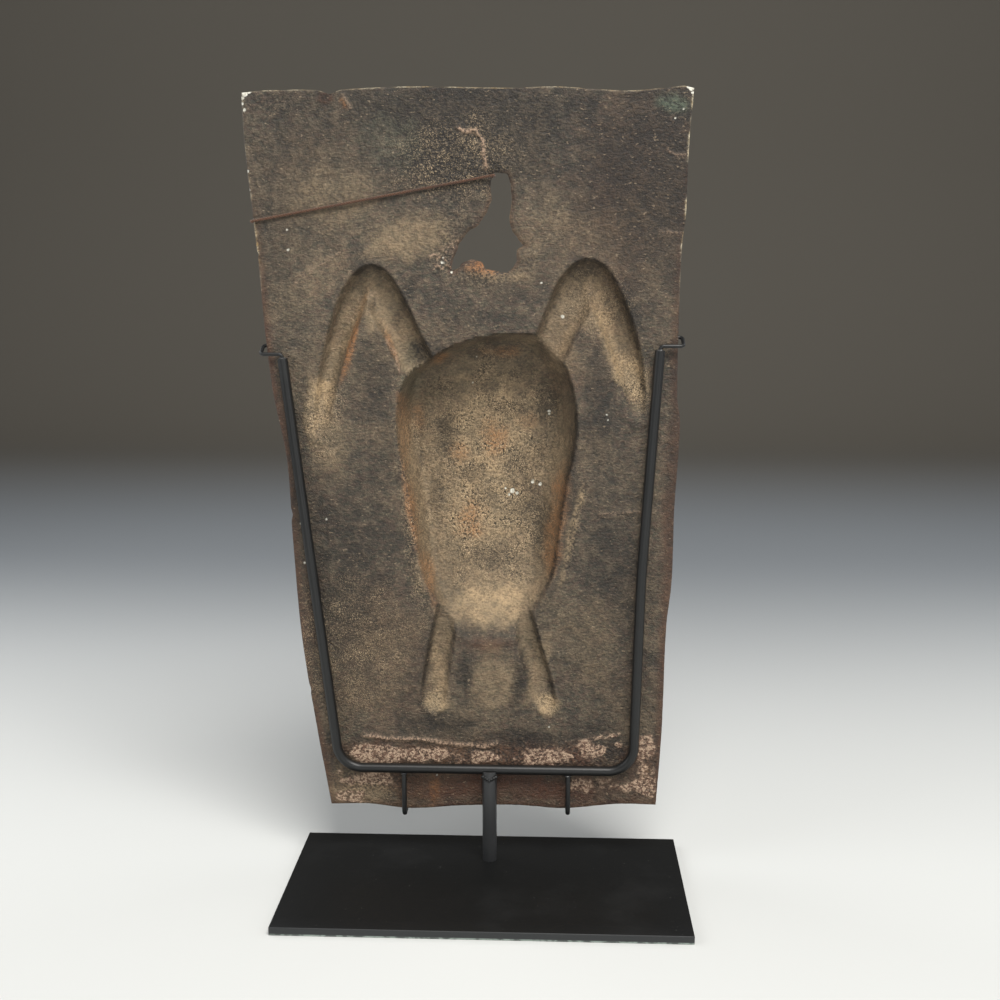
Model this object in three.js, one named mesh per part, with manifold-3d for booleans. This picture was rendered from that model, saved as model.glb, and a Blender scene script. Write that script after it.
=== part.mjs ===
// A cast relief plaque with a hollow-backed figure, held upright in a black rod stand.
// Millimetres. +Z is up and +Y is towards the relief side, so the hollow back faces -Y.
// The origin is the centre of the base plate's underside.
import * as THREE from 'three';
import { mergeVertices } from 'three/addons/utils/BufferGeometryUtils.js';
import Module from 'manifold-3d';

const wasm = await Module();
wasm.setup();

// Stand
const GAP = 0.3;
const BASE_LENGTH = 254;
const BASE_WIDTH = 127;
const BASE_THICKNESS = 5.3;
const BASE_EDGE = 0.5;
const POST_DIAMETER = 9.5;
const POST_OFF_CENTRE = 1.2;
const POST_FORWARD = 29;
const ROD_DIAMETER = 6.35;
const ROD_BEND_RADIUS = 17;
const ROD_RUN_HEIGHT = 68;
const LEFT_ARM_HEIGHT = 338;
const RIGHT_ARM_HEIGHT = 343.5;
const RIGHT_ARM_BOW_HEIGHT = 200;
const RIGHT_ARM_BOW_RADIUS = 900;
// How far the rod's centre line lies inside the plaque's edge
const LEFT_INSET_TOP = 10;
const LEFT_INSET_LOW = 11.6;
const RIGHT_INSET_TOP = 11.5;
const RIGHT_INSET_BOW = 20;
const RIGHT_INSET_LOW = 17.4;
const HOOK_WIRE = 2.4;
const HOOK_BEND_RADIUS = 2.4;
const HOOK_SIDE_CLEARANCE = 1.8;
const HOOK_LAP = 9;
const HOOK_RISE = 5;
const PEG_DIAMETER = 3.2;
const PEG_BEND_RADIUS = 2.6;
const PEG_LIP = 7;
const PEG_LEFT_X = -55.7;
const PEG_RIGHT_X = 53;

// Plaque
const PLAQUE_HEIGHT = 459.5;
const PLAQUE_TOP_WIDTH = 273.5;
const PLAQUE_BOTTOM_WIDTH = 217.2;
const PLAQUE_TOP_CENTRE = -12.6;
const PLAQUE_BOTTOM_CENTRE = 2.9;
const PLAQUE_ABOVE_BASE = 35;
const PLAQUE_WALL = 4;
const EDGE_WAVER = 10;

// Hollows of the figure, each at its deepest
const FIGURE_HEIGHT = 292;
const FIGURE_ABOVE_EDGE = 65;
const BODY_DEPTH = 30;
const ARM_DEPTH = 10;
const LEG_DEPTH = 8.5;

// Cord
const CORD_DIAMETER = 1.9;
const CORD_EDGE_SHARE = 0.831;
const CORD_HOLE_SHARE = 0.889;

// Facets
const ROD_SIDES = 14;
const WIRE_SIDES = 10;
const CORD_SIDES = 8;
const CORD_TURN_STEPS = 4;
const POST_SIDES = 28;
const EDGE_STEPS = 26;
const ROD_STEP_DEGREES = 12;
const WIRE_STEP_DEGREES = 20;

// Where the plaque and the rods stand, from the sizes above
const POST_RADIUS = POST_DIAMETER / 2;
const ROD_RADIUS = ROD_DIAMETER / 2;
const ROD_Y = POST_FORWARD + POST_RADIUS - ROD_RADIUS;
const BACK_Y = POST_FORWARD + POST_RADIUS + GAP;
const FRONT_Y = BACK_Y + PLAQUE_WALL;
const PLAQUE_BOTTOM = BASE_THICKNESS + PLAQUE_ABOVE_BASE;

// The hand-cut edges waver: each pair is a share along the edge and a share of EDGE_WAVER outwards.
const LEFT_WAVER = [[0, 0], [0.14, 0.37], [0.26, 0.55], [0.4, 0.32], [0.51, 0.07], [0.6, 0.4],
  [0.69, 0.41], [0.78, 0.28], [0.93, 0.2], [1, 0]];
const RIGHT_WAVER = [[0, 0], [0.13, 0.12], [0.27, 0.05], [0.34, 0.24], [0.44, 0.16], [0.56, 0.23],
  [0.6, -0.04], [0.79, -0.24], [0.84, -0.1], [0.93, -0.13], [1, 0]];
const TOP_WAVER = [[0, -0.16], [0.06, -0.03], [0.165, -0.02], [0.195, -0.15], [0.23, 0], [0.38, 0.14],
  [0.6, 0.03], [0.7, 0.09], [0.86, -0.17], [0.975, 0.08], [1, -0.04]];
const BOTTOM_WAVER = [[0, 0.04], [0.12, -0.02], [0.25, 0.26], [0.4, 0], [0.57, -0.12], [0.72, 0.06],
  [0.88, -0.29], [1, -0.29]];

// The ragged hole, as shares of the plaque's height: across from the plate's x = 0, and up.
const HOLE = [[0.0065, 0.8915], [0.0115, 0.894], [0.0265, 0.892], [0.0315, 0.878], [0.0325, 0.853],
  [0.029, 0.8355], [0.0325, 0.8185], [0.0485, 0.7985], [0.0395, 0.7925], [0.0395, 0.779],
  [0.0345, 0.77], [0.026, 0.7625], [0.0145, 0.764], [-0.002, 0.7675], [-0.0065, 0.776],
  [-0.02, 0.7805], [-0.0345, 0.7755], [-0.042, 0.7645], [-0.0485, 0.7655], [-0.047, 0.779],
  [-0.038, 0.8], [-0.027, 0.8165], [-0.011, 0.8265], [-0.001, 0.8415], [0.006, 0.8585],
  [0.0045, 0.876]];

// The figure's hollows, as shares of the figure's height. A path goes across from its middle line
// and up from its feet. Widths and depths go with the share of the way along the path.
const BODY = {
  depth: BODY_DEPTH,
  path: [[0.0015, 0.158], [0.003, 0.5], [0, 0.7], [-0.007, 0.79], [-0.018, 0.842]],
  halfWidth: 0.195,
  widths: [[0, 0], [0.03, 0.34], [0.09, 0.55], [0.17, 0.71], [0.24, 0.765], [0.4, 0.815],
    [0.54, 0.895], [0.63, 0.965], [0.72, 1], [0.82, 0.965], [0.9, 0.86], [0.96, 0.65], [0.99, 0.34],
    [1, 0]],
  depths: [[0, -0.02], [0.07, 0.14], [0.2, 0.5], [0.36, 0.78], [0.56, 0.95], [0.72, 1],
    [0.86, 0.93], [0.94, 0.74], [0.985, 0.42], [1, -0.02]],
  stations: 24,
  facets: 16,
};
const LEFT_FOREARM = {
  depth: ARM_DEPTH,
  path: [[-0.241, 0.995], [-0.266, 0.952], [-0.29, 0.91], [-0.316, 0.845], [-0.335, 0.785],
    [-0.35, 0.72], [-0.362, 0.65], [-0.368, 0.61]],
  halfWidth: 0.038,
  widths: [[0, 0], [0.04, 0.6], [0.12, 0.95], [0.25, 1], [0.45, 0.86], [0.7, 0.7], [0.9, 0.5], [1, 0]],
  depths: [[0, -0.05], [0.05, 0.6], [0.14, 0.95], [0.35, 1], [0.6, 0.78], [0.8, 0.42], [1, -0.05]],
  stations: 14,
  facets: 10,
};
const LEFT_UPPER_ARM = {
  depth: ARM_DEPTH,
  path: [[-0.263, 0.995], [-0.239, 0.955], [-0.212, 0.905], [-0.184, 0.847], [-0.155, 0.79],
    [-0.12, 0.74]],
  halfWidth: 0.0405,
  widths: [[0, 0], [0.05, 0.55], [0.14, 0.9], [0.3, 1], [0.6, 0.98], [0.85, 0.9], [1, 0]],
  depths: [[0, -0.05], [0.06, 0.55], [0.18, 0.95], [0.4, 0.95], [0.7, 0.85], [0.9, 0.7], [1, -0.05]],
  stations: 13,
  facets: 10,
};
const RIGHT_FOREARM = {
  depth: ARM_DEPTH,
  path: [[0.204, 1.003], [0.232, 0.958], [0.266, 0.887], [0.295, 0.806], [0.31, 0.748],
    [0.32, 0.7], [0.329, 0.65]],
  halfWidth: 0.037,
  widths: [[0, 0], [0.04, 0.6], [0.12, 0.93], [0.3, 1], [0.55, 0.92], [0.75, 0.72], [0.9, 0.5], [1, 0]],
  depths: [[0, -0.05], [0.05, 0.6], [0.14, 0.95], [0.35, 1], [0.6, 0.82], [0.8, 0.45], [1, -0.05]],
  stations: 14,
  facets: 10,
};
const RIGHT_UPPER_ARM = {
  depth: ARM_DEPTH,
  path: [[0.233, 1.004], [0.2, 0.962], [0.168, 0.895], [0.144, 0.842], [0.125, 0.792], [0.105, 0.74]],
  halfWidth: 0.047,
  widths: [[0, 0], [0.05, 0.5], [0.15, 0.82], [0.32, 1], [0.55, 0.92], [0.8, 0.78], [1, 0]],
  depths: [[0, -0.05], [0.06, 0.55], [0.18, 0.95], [0.4, 0.95], [0.7, 0.85], [0.9, 0.7], [1, -0.05]],
  stations: 13,
  facets: 10,
};
const LEFT_LEG = {
  depth: LEG_DEPTH,
  path: [[-0.083, 0.26], [-0.096, 0.195], [-0.11, 0.128], [-0.122, 0.07], [-0.126, 0.025],
    [-0.125, 0.002]],
  halfWidth: 0.0295,
  widths: [[0, 0], [0.1, 0.75], [0.25, 0.9], [0.5, 1], [0.8, 0.95], [0.93, 0.7], [1, 0]],
  depths: [[0, -0.05], [0.15, 0.8], [0.4, 1], [0.7, 0.8], [0.9, 0.4], [1, -0.05]],
  stations: 11,
  facets: 10,
};
const RIGHT_LEG = {
  depth: LEG_DEPTH,
  path: [[0.066, 0.26], [0.079, 0.195], [0.093, 0.13], [0.11, 0.08], [0.12, 0.035], [0.123, 0.008]],
  halfWidth: 0.028,
  widths: [[0, 0], [0.1, 0.75], [0.25, 0.9], [0.5, 1], [0.8, 0.95], [0.93, 0.7], [1, 0]],
  depths: [[0, -0.05], [0.15, 0.8], [0.4, 1], [0.7, 0.8], [0.9, 0.4], [1, -0.05]],
  stations: 11,
  facets: 10,
};
const FORMS = [BODY, LEFT_FOREARM, LEFT_UPPER_ARM, RIGHT_FOREARM, RIGHT_UPPER_ARM, LEFT_LEG, RIGHT_LEG];

const vec = (x, y, z) => new THREE.Vector3(x, y, z);

// A smooth curve through pairs of share and value
function along(pairs) {
  const slope = (i) => {
    const a = pairs[Math.max(i - 1, 0)];
    const b = pairs[Math.min(i + 1, pairs.length - 1)];
    return (b[1] - a[1]) / (b[0] - a[0]);
  };
  return (share) => {
    let i = 0;
    while (i < pairs.length - 2 && share > pairs[i + 1][0]) {
      i += 1;
    }
    const span = pairs[i + 1][0] - pairs[i][0];
    const t = THREE.MathUtils.clamp((share - pairs[i][0]) / span, 0, 1);
    const t2 = t * t;
    const t3 = t2 * t;
    return (2 * t3 - 3 * t2 + 1) * pairs[i][1] + (t3 - 2 * t2 + t) * span * slope(i)
      + (3 * t2 - 2 * t3) * pairs[i + 1][1] + (t3 - t2) * span * slope(i + 1);
  };
}

const leftWaver = along(LEFT_WAVER);
const rightWaver = along(RIGHT_WAVER);
const topWaver = along(TOP_WAVER);
const bottomWaver = along(BOTTOM_WAVER);

// The plaque's edges at a share of its height or width
function taper(share) {
  return {
    centre: THREE.MathUtils.lerp(PLAQUE_BOTTOM_CENTRE, PLAQUE_TOP_CENTRE, share),
    half: THREE.MathUtils.lerp(PLAQUE_BOTTOM_WIDTH, PLAQUE_TOP_WIDTH, share) / 2,
  };
}

function leftEdge(z) {
  const share = (z - PLAQUE_BOTTOM) / PLAQUE_HEIGHT;
  const { centre, half } = taper(share);
  return centre - half - EDGE_WAVER * leftWaver(share);
}

function rightEdge(z) {
  const share = (z - PLAQUE_BOTTOM) / PLAQUE_HEIGHT;
  const { centre, half } = taper(share);
  return centre + half + EDGE_WAVER * rightWaver(share);
}

function bottomEdge(x) {
  const { centre, half } = taper(0);
  return PLAQUE_BOTTOM - EDGE_WAVER * bottomWaver((x - centre + half) / (2 * half));
}

// Solids from closed meshes, and meshes from solids
function solid(geometry) {
  const bare = geometry.clone();
  bare.deleteAttribute('normal');
  bare.deleteAttribute('uv');
  const merged = mergeVertices(bare, 1e-4);
  const vertProperties = new Float32Array(merged.attributes.position.array);
  const triVerts = new Uint32Array(merged.index.array);
  return new wasm.Manifold(new wasm.Mesh({ numProp: 3, vertProperties, triVerts }));
}

function geometryOf(manifold) {
  const mesh = manifold.getMesh();
  const geometry = new THREE.BufferGeometry();
  geometry.setAttribute('position', new THREE.BufferAttribute(new Float32Array(mesh.vertProperties), 3));
  geometry.setIndex(new THREE.BufferAttribute(new Uint32Array(mesh.triVerts), 1));
  geometry.computeVertexNormals();
  return geometry;
}

// A closed skin over rings of points, with a cap at each end or the last ring joined to the first
function skin(rings, joined = false) {
  const count = rings[0].length;
  const geometry = new THREE.BufferGeometry().setFromPoints(rings.flat());
  const faces = [];
  const last = joined ? rings.length : rings.length - 1;
  for (let i = 0; i < last; i += 1) {
    const low = i * count;
    const high = ((i + 1) % rings.length) * count;
    for (let j = 0; j < count; j += 1) {
      const next = (j + 1) % count;
      faces.push(low + j, low + next, high + next, low + j, high + next, high + j);
    }
  }
  if (!joined) {
    const top = (rings.length - 1) * count;
    for (let j = 1; j < count - 1; j += 1) {
      faces.push(0, j + 1, j, top, top + j, top + j + 1);
    }
  }
  geometry.setIndex(faces);
  geometry.computeVertexNormals();
  return geometry;
}

// A route with each corner rounded to a bend of the given radius
function bentRoute(corners, radius, stepDegrees) {
  const route = [corners[0].clone()];
  for (let i = 1; i < corners.length - 1; i += 1) {
    const back = corners[i - 1].clone().sub(corners[i]).normalize();
    const ahead = corners[i + 1].clone().sub(corners[i]).normalize();
    const turn = Math.PI - back.angleTo(ahead);
    const reach = radius * Math.tan(turn / 2);
    const start = corners[i].clone().addScaledVector(back, reach);
    const inwards = back.clone().add(ahead).normalize();
    const centre = corners[i].clone().addScaledVector(inwards, radius / Math.cos(turn / 2));
    const axis = ahead.clone().cross(back).normalize();
    const spoke = start.clone().sub(centre);
    const steps = Math.max(2, Math.ceil(THREE.MathUtils.radToDeg(turn) / stepDegrees));
    for (let k = 0; k <= steps; k += 1) {
      const swung = spoke.clone().applyAxisAngle(axis, (turn * k) / steps);
      route.push(centre.clone().add(swung));
    }
  }
  route.push(corners[corners.length - 1].clone());
  return route.filter((point, i) => i === 0 || point.distanceTo(route[i - 1]) > GAP / 10);
}

// Rings of points round a route, square to it, carried along without twist
function ringsRound(route, radius, sides, closed = false) {
  const count = route.length;
  const at = (i) => route[(i + count) % count];
  const heading = (i) => {
    const from = closed || i > 0 ? at(i - 1) : at(i);
    const to = closed || i < count - 1 ? at(i + 1) : at(i);
    return to.clone().sub(from).normalize();
  };
  let along0 = heading(0);
  const side = new THREE.Vector3(0, 0, 1).cross(along0);
  if (side.lengthSq() < 1e-6) {
    side.set(0, 1, 0).cross(along0);
  }
  side.normalize();
  return route.map((point, i) => {
    const direction = heading(i);
    side.applyQuaternion(new THREE.Quaternion().setFromUnitVectors(along0, direction));
    along0 = direction;
    const up = direction.clone().cross(side).normalize();
    const ring = [];
    for (let j = 0; j < sides; j += 1) {
      const angle = (j / sides) * 2 * Math.PI;
      ring.push(point.clone()
        .addScaledVector(side, radius * Math.cos(angle))
        .addScaledVector(up, radius * Math.sin(angle)));
    }
    return ring;
  });
}

// The tapered sheet, from its four wavering edges
function plateSolid() {
  const low = taper(0);
  const high = taper(1);
  const shares = Array.from({ length: EDGE_STEPS }, (_, i) => i / EDGE_STEPS);
  const bottom = shares.map((share) => {
    const x = low.centre + low.half * (2 * share - 1);
    return [x, bottomEdge(x)];
  });
  const right = shares.map((share) => {
    const z = PLAQUE_BOTTOM + PLAQUE_HEIGHT * share;
    return [rightEdge(z), z - EDGE_WAVER * bottomWaver(1) * (1 - share)];
  });
  const top = shares.map((share) => {
    const x = high.centre + high.half * (1 - 2 * share);
    return [x, PLAQUE_BOTTOM + PLAQUE_HEIGHT + EDGE_WAVER * topWaver(1 - share)];
  });
  const left = shares.map((share) => {
    const z = PLAQUE_BOTTOM + PLAQUE_HEIGHT * (1 - share);
    return [leftEdge(z), z];
  });
  return solid(standing([...bottom, ...right, ...top, ...left], BACK_Y, FRONT_Y));
}

// An outline of x and z pairs, as a sheet between two planes of y
function standing(outline, fromY, toY) {
  const shape = new THREE.Shape(outline.map(([x, z]) => new THREE.Vector2(x, z)));
  const geometry = new THREE.ExtrudeGeometry(shape, { depth: toY - fromY, bevelEnabled: false });
  geometry.rotateX(Math.PI / 2);
  geometry.translate(0, toY, 0);
  return geometry;
}

// One form of the figure. A wall of 0 gives its hollow, and more gives the raised form over it.
const HOLLOW_OVERRUN = 3;
const RAISED_ROOT = 1;
const SECTION_SQUARENESS = 0.8;
const LEAST_WIDTH_SHARE = 0.02;

function figurePoint([across, up]) {
  return vec(across * FIGURE_HEIGHT, 0, PLAQUE_BOTTOM + FIGURE_ABOVE_EDGE + up * FIGURE_HEIGHT);
}

function formSolid(form, wall) {
  const points = form.path.map(figurePoint);
  const end = points.length - 1;
  const headStep = points[0].clone().sub(points[1]).normalize();
  const tailStep = points[end].clone().sub(points[end - 1]).normalize();
  points[0].addScaledVector(headStep, wall);
  points[end].addScaledVector(tailStep, wall);
  const path = new THREE.CatmullRomCurve3(points, false, 'centripetal');
  const widthAt = along(form.widths);
  const depthAt = along(form.depths);
  const fullWidth = form.halfWidth * FIGURE_HEIGHT + wall;
  const rimY = wall > 0 ? BACK_Y + RAISED_ROOT : BACK_Y;
  const rings = [];
  for (let i = 0; i <= form.stations; i += 1) {
    const share = (1 - Math.cos((Math.PI * i) / form.stations)) / 2;
    const middle = path.getPointAt(share);
    const across = vec(0, 1, 0).cross(path.getTangentAt(share)).normalize();
    const half = Math.max(widthAt(share), LEAST_WIDTH_SHARE) * fullWidth;
    const deepestY = BACK_Y + depthAt(share) * form.depth + wall;
    const ring = [];
    for (let j = 0; j <= form.facets; j += 1) {
      const angle = (Math.PI * j) / form.facets;
      const aside = Math.sign(Math.cos(angle)) * Math.abs(Math.cos(angle)) ** SECTION_SQUARENESS;
      const y = THREE.MathUtils.lerp(rimY, deepestY, Math.sin(angle) ** SECTION_SQUARENESS);
      ring.push(middle.clone().addScaledVector(across, half * aside).setY(y));
    }
    if (wall === 0) {
      ring.push(middle.clone().addScaledVector(across, -half).setY(BACK_Y - HOLLOW_OVERRUN));
      ring.push(middle.clone().addScaledVector(across, half).setY(BACK_Y - HOLLOW_OVERRUN));
    }
    rings.push(ring);
  }
  return solid(skin(rings));
}

function holeSolid() {
  const outline = HOLE.map(([across, up]) => [across * PLAQUE_HEIGHT, PLAQUE_BOTTOM + up * PLAQUE_HEIGHT]);
  return solid(standing(outline, BACK_Y - HOLLOW_OVERRUN, FRONT_Y + HOLLOW_OVERRUN));
}

function plaqueGeometry() {
  let casting = plateSolid();
  for (const form of FORMS) {
    casting = casting.add(formSolid(form, PLAQUE_WALL));
  }
  for (const form of FORMS) {
    casting = casting.subtract(formSolid(form, 0));
  }
  return geometryOf(casting.subtract(holeSolid()));
}

// The stand's foot: a plate with its edges just broken
function basePlateGeometry() {
  const halfLength = BASE_LENGTH / 2;
  const halfWidth = BASE_WIDTH / 2;
  const shape = new THREE.Shape([
    new THREE.Vector2(-halfLength, -halfWidth),
    new THREE.Vector2(halfLength, -halfWidth),
    new THREE.Vector2(halfLength, halfWidth),
    new THREE.Vector2(-halfLength, halfWidth),
  ]);
  const geometry = new THREE.ExtrudeGeometry(shape, {
    depth: BASE_THICKNESS - 2 * BASE_EDGE,
    bevelThickness: BASE_EDGE,
    bevelSize: BASE_EDGE,
    bevelOffset: -BASE_EDGE,
    bevelSegments: 1,
  });
  geometry.translate(0, 0, BASE_EDGE);
  return geometry;
}

// The post's top is coped to sit under the rod that crosses it
function postGeometry() {
  const height = ROD_RUN_HEIGHT - BASE_THICKNESS;
  const shaft = new THREE.CylinderGeometry(POST_RADIUS, POST_RADIUS, height, POST_SIDES);
  shaft.rotateX(Math.PI / 2);
  shaft.translate(POST_OFF_CENTRE, POST_FORWARD, BASE_THICKNESS + height / 2);
  const cope = new THREE.CylinderGeometry(ROD_RADIUS + GAP, ROD_RADIUS + GAP, 3 * POST_DIAMETER, POST_SIDES);
  cope.rotateZ(Math.PI / 2);
  cope.translate(POST_OFF_CENTRE, ROD_Y, ROD_RUN_HEIGHT);
  return geometryOf(solid(shaft).subtract(solid(cope)));
}

// The rod's centre line at a height, a named inset inside the plaque's edge
function rodLeft(z, inset) {
  return vec(leftEdge(z) + inset, ROD_Y, z);
}

function rodRight(z, inset) {
  return vec(rightEdge(z) - inset, ROD_Y, z);
}

const leftTop = rodLeft(LEFT_ARM_HEIGHT, LEFT_INSET_TOP);
const rightTop = rodRight(RIGHT_ARM_HEIGHT, RIGHT_INSET_TOP);

function cradleRodGeometry() {
  const rightBow = rodRight(RIGHT_ARM_BOW_HEIGHT, RIGHT_INSET_BOW);
  const lowRight = rodRight(ROD_RUN_HEIGHT, RIGHT_INSET_LOW);
  const lowLeft = rodLeft(ROD_RUN_HEIGHT, LEFT_INSET_LOW);
  const bend = bentRoute([leftTop, lowLeft, lowRight, rightBow], ROD_BEND_RADIUS, ROD_STEP_DEGREES);
  const bow = bentRoute([bend[bend.length - 2], rightBow, rightTop], RIGHT_ARM_BOW_RADIUS,
    ROD_STEP_DEGREES);
  const route = [...bend.slice(0, -2), ...bow];
  return skin(ringsRound(route, ROD_RADIUS, ROD_SIDES));
}

// How far a bend's centre line keeps from the square corner that it goes round
function cornerClearance(bendRadius, radius) {
  return bendRadius - (bendRadius - radius - GAP) / Math.SQRT2;
}

// A wire from a rod's top, out past the plaque's edge, forward and back over its front
function upperHookGeometry(rodTop, edge, outwards) {
  const radius = HOOK_WIRE / 2;
  const foot = rodTop.clone().add(vec(0, 0, GAP));
  const level = foot.z + HOOK_BEND_RADIUS;
  const edges = [edge(level), edge(level + HOOK_RISE / 2), edge(level + HOOK_RISE)];
  const outmost = outwards * Math.max(...edges.map((x) => x * outwards));
  const outX = outmost + outwards * (HOOK_SIDE_CLEARANCE + radius);
  const frontY = FRONT_Y + cornerClearance(HOOK_BEND_RADIUS, radius);
  const route = bentRoute([
    foot,
    vec(foot.x, foot.y, level),
    vec(outX, foot.y, level),
    vec(outX, frontY, level + HOOK_RISE),
    vec(outX - outwards * HOOK_LAP, frontY, level + HOOK_RISE),
  ], HOOK_BEND_RADIUS, WIRE_STEP_DEGREES);
  return skin(ringsRound(route, radius, WIRE_SIDES));
}

// A peg from under the rod, down behind the plaque, forward under its edge and up in front
function lowerPegGeometry(x) {
  const radius = PEG_DIAMETER / 2;
  const top = ROD_RUN_HEIGHT - ROD_RADIUS - GAP;
  const clear = cornerClearance(PEG_BEND_RADIUS, radius);
  const floor = Math.min(bottomEdge(x - radius), bottomEdge(x), bottomEdge(x + radius)) - clear;
  const frontY = FRONT_Y + clear;
  const route = bentRoute([
    vec(x, ROD_Y, top),
    vec(x, ROD_Y, floor),
    vec(x, frontY, floor),
    vec(x, frontY, floor + radius + PEG_LIP),
  ], PEG_BEND_RADIUS, WIRE_STEP_DEGREES);
  return skin(ringsRound(route, radius, WIRE_SIDES));
}

// A cord tied taut through the hole's top corner and round the left edge. At each lip it turns a
// quarter round the sheet's near corner and a quarter round its far one.
function cordLoopGeometry() {
  const radius = CORD_DIAMETER / 2;
  const edgeZ = PLAQUE_BOTTOM + CORD_EDGE_SHARE * PLAQUE_HEIGHT;
  const holeZ = PLAQUE_BOTTOM + CORD_HOLE_SHARE * PLAQUE_HEIGHT;
  const swing = GAP + radius;
  const atEdge = vec(leftEdge(edgeZ), 0, edgeZ);
  const atHole = vec(HOLE[0][0] * PLAQUE_HEIGHT, 0, holeZ);
  const run = atHole.clone().sub(atEdge).normalize();
  const route = [];
  for (const [lip, outwards, corners] of [[atEdge, -1, [BACK_Y, FRONT_Y]], [atHole, 1, [FRONT_Y, BACK_Y]]]) {
    corners.forEach((cornerY, quarter) => {
      for (let k = 0; k <= CORD_TURN_STEPS; k += 1) {
        const angle = (Math.PI / 2) * (quarter - 1 + k / CORD_TURN_STEPS);
        route.push(lip.clone().setY(cornerY - outwards * swing * Math.sin(angle))
          .addScaledVector(run, outwards * swing * Math.cos(angle)));
      }
    });
  }
  return skin(ringsRound(route, radius, CORD_SIDES, true), true);
}

const CAST_METAL = { color: 0x5d4d3b, roughness: 0.6, metalness: 0.7 };
const BLACK_PAINT = { color: 0x1c1d1f, roughness: 0.5, metalness: 0.1 };
const BROWN_CORD = { color: 0x4a3126, roughness: 0.9, metalness: 0 };

const object = new THREE.Group();

function add(name, geometry, finish) {
  const mesh = new THREE.Mesh(geometry, new THREE.MeshStandardMaterial(finish));
  mesh.name = name;
  object.add(mesh);
}

add('plaque', plaqueGeometry(), CAST_METAL);
add('cord_loop', cordLoopGeometry(), BROWN_CORD);
add('base_plate', basePlateGeometry(), BLACK_PAINT);
add('post', postGeometry(), BLACK_PAINT);
add('cradle_rod', cradleRodGeometry(), BLACK_PAINT);
add('upper_hook_left', upperHookGeometry(leftTop, leftEdge, -1), BLACK_PAINT);
add('upper_hook_right', upperHookGeometry(rightTop, rightEdge, 1), BLACK_PAINT);
add('lower_peg_left', lowerPegGeometry(PEG_LEFT_X), BLACK_PAINT);
add('lower_peg_right', lowerPegGeometry(PEG_RIGHT_X), BLACK_PAINT);

export default object;
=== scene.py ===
import math

import bpy
import numpy as np
from mathutils import Matrix, Vector


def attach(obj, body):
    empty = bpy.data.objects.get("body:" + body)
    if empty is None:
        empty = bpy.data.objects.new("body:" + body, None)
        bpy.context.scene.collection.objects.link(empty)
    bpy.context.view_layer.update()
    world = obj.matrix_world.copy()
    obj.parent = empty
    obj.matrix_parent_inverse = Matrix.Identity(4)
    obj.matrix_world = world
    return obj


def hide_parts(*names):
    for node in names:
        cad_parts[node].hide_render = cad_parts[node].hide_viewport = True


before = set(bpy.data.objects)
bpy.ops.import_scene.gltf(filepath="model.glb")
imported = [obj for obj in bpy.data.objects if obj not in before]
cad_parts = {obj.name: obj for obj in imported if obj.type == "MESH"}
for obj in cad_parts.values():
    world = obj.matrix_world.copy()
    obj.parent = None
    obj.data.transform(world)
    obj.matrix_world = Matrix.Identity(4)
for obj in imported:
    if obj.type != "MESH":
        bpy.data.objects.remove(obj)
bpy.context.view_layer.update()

# Sizes in millimetres, as in the CAD source
MM = 0.001
GAP = 0.3
BASE_LENGTH = 254
BASE_WIDTH = 127
BASE_THICKNESS = 5.3
POST_RADIUS = 4.75
POST_X = 1.2
POST_Y = 29
ROD_RADIUS = 3.175
ROD_BEND = 17
ROD_LOW = 68
ROD_Y = POST_Y + POST_RADIUS - ROD_RADIUS
BACK_Y = POST_Y + POST_RADIUS + GAP
WALL = 4
FRONT_Y = BACK_Y + WALL
ABOVE_BASE = 35
FOOT_Z = BASE_THICKNESS + ABOVE_BASE
CORD_RADIUS = .95
LEFT_PEG_X, RIGHT_PEG_X = -55.7, 53
LEFT_TOP_Z, LEFT_TOP_INSET = 338, 10
RIGHT_TOP_Z, RIGHT_TOP_INSET = 343.5, 11.5
LOW_LEFT_INSET, LOW_RIGHT_INSET = 11.6, 17.4
BOW_Z, BOW_INSET, BOW_RADIUS = 200, 20, 900
HEIGHT = 459.5
TOP_WIDTH, BOTTOM_WIDTH = 273.5, 217.2
TOP_CENTRE, BOTTOM_CENTRE = -12.6, 2.9
FIGURE_HEIGHT = 292
FIGURE_ABOVE_EDGE = 65
BACK_GRID, FAR_GRID = (138, 234), (88, 146)

# How far each edge strays from straight, by the share of the way along it
LEFT_WAVER = [
    (0, 0), (.14, 3.7), (.26, 5.5), (.4, 3.2), (.51, .7), (.6, 4), (.69, 4.1), (.78, 2.8), (.93, 2),
    (1, 0)]
RIGHT_WAVER = [
    (0, 0), (.13, 1.2), (.27, .5), (.34, 2.4), (.44, 1.6), (.56, 2.3), (.6, -.4), (.79, -2.4),
    (.84, -1), (.93, -1.3), (1, 0)]
TOP_WAVER = [
    (0, -1.6), (.06, -.3), (.165, -.2), (.195, -1.5), (.23, 0), (.38, 1.4), (.6, .3), (.7, .9),
    (.86, -1.7), (.975, .8), (1, -.4)]
BOTTOM_WAVER = [
    (0, .4), (.12, -.2), (.25, 2.6), (.4, 0), (.57, -1.2), (.72, .6), (.88, -2.9), (1, -2.9)]

# The hole's outline, as shares of the plaque's height
HOLE = [
    (.0065, .8915), (.0115, .894), (.0265, .892), (.0315, .878), (.0325, .853), (.029, .8355),
    (.0325, .8185), (.0485, .7985), (.0395, .7925), (.0395, .779), (.0345, .77), (.026, .7625),
    (.0145, .764), (-.002, .7675), (-.0065, .776), (-.02, .7805), (-.0345, .7755), (-.042, .7645),
    (-.0485, .7655), (-.047, .779), (-.038, .8), (-.027, .8165), (-.011, .8265), (-.001, .8415),
    (.006, .8585), (.0045, .876)]

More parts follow.
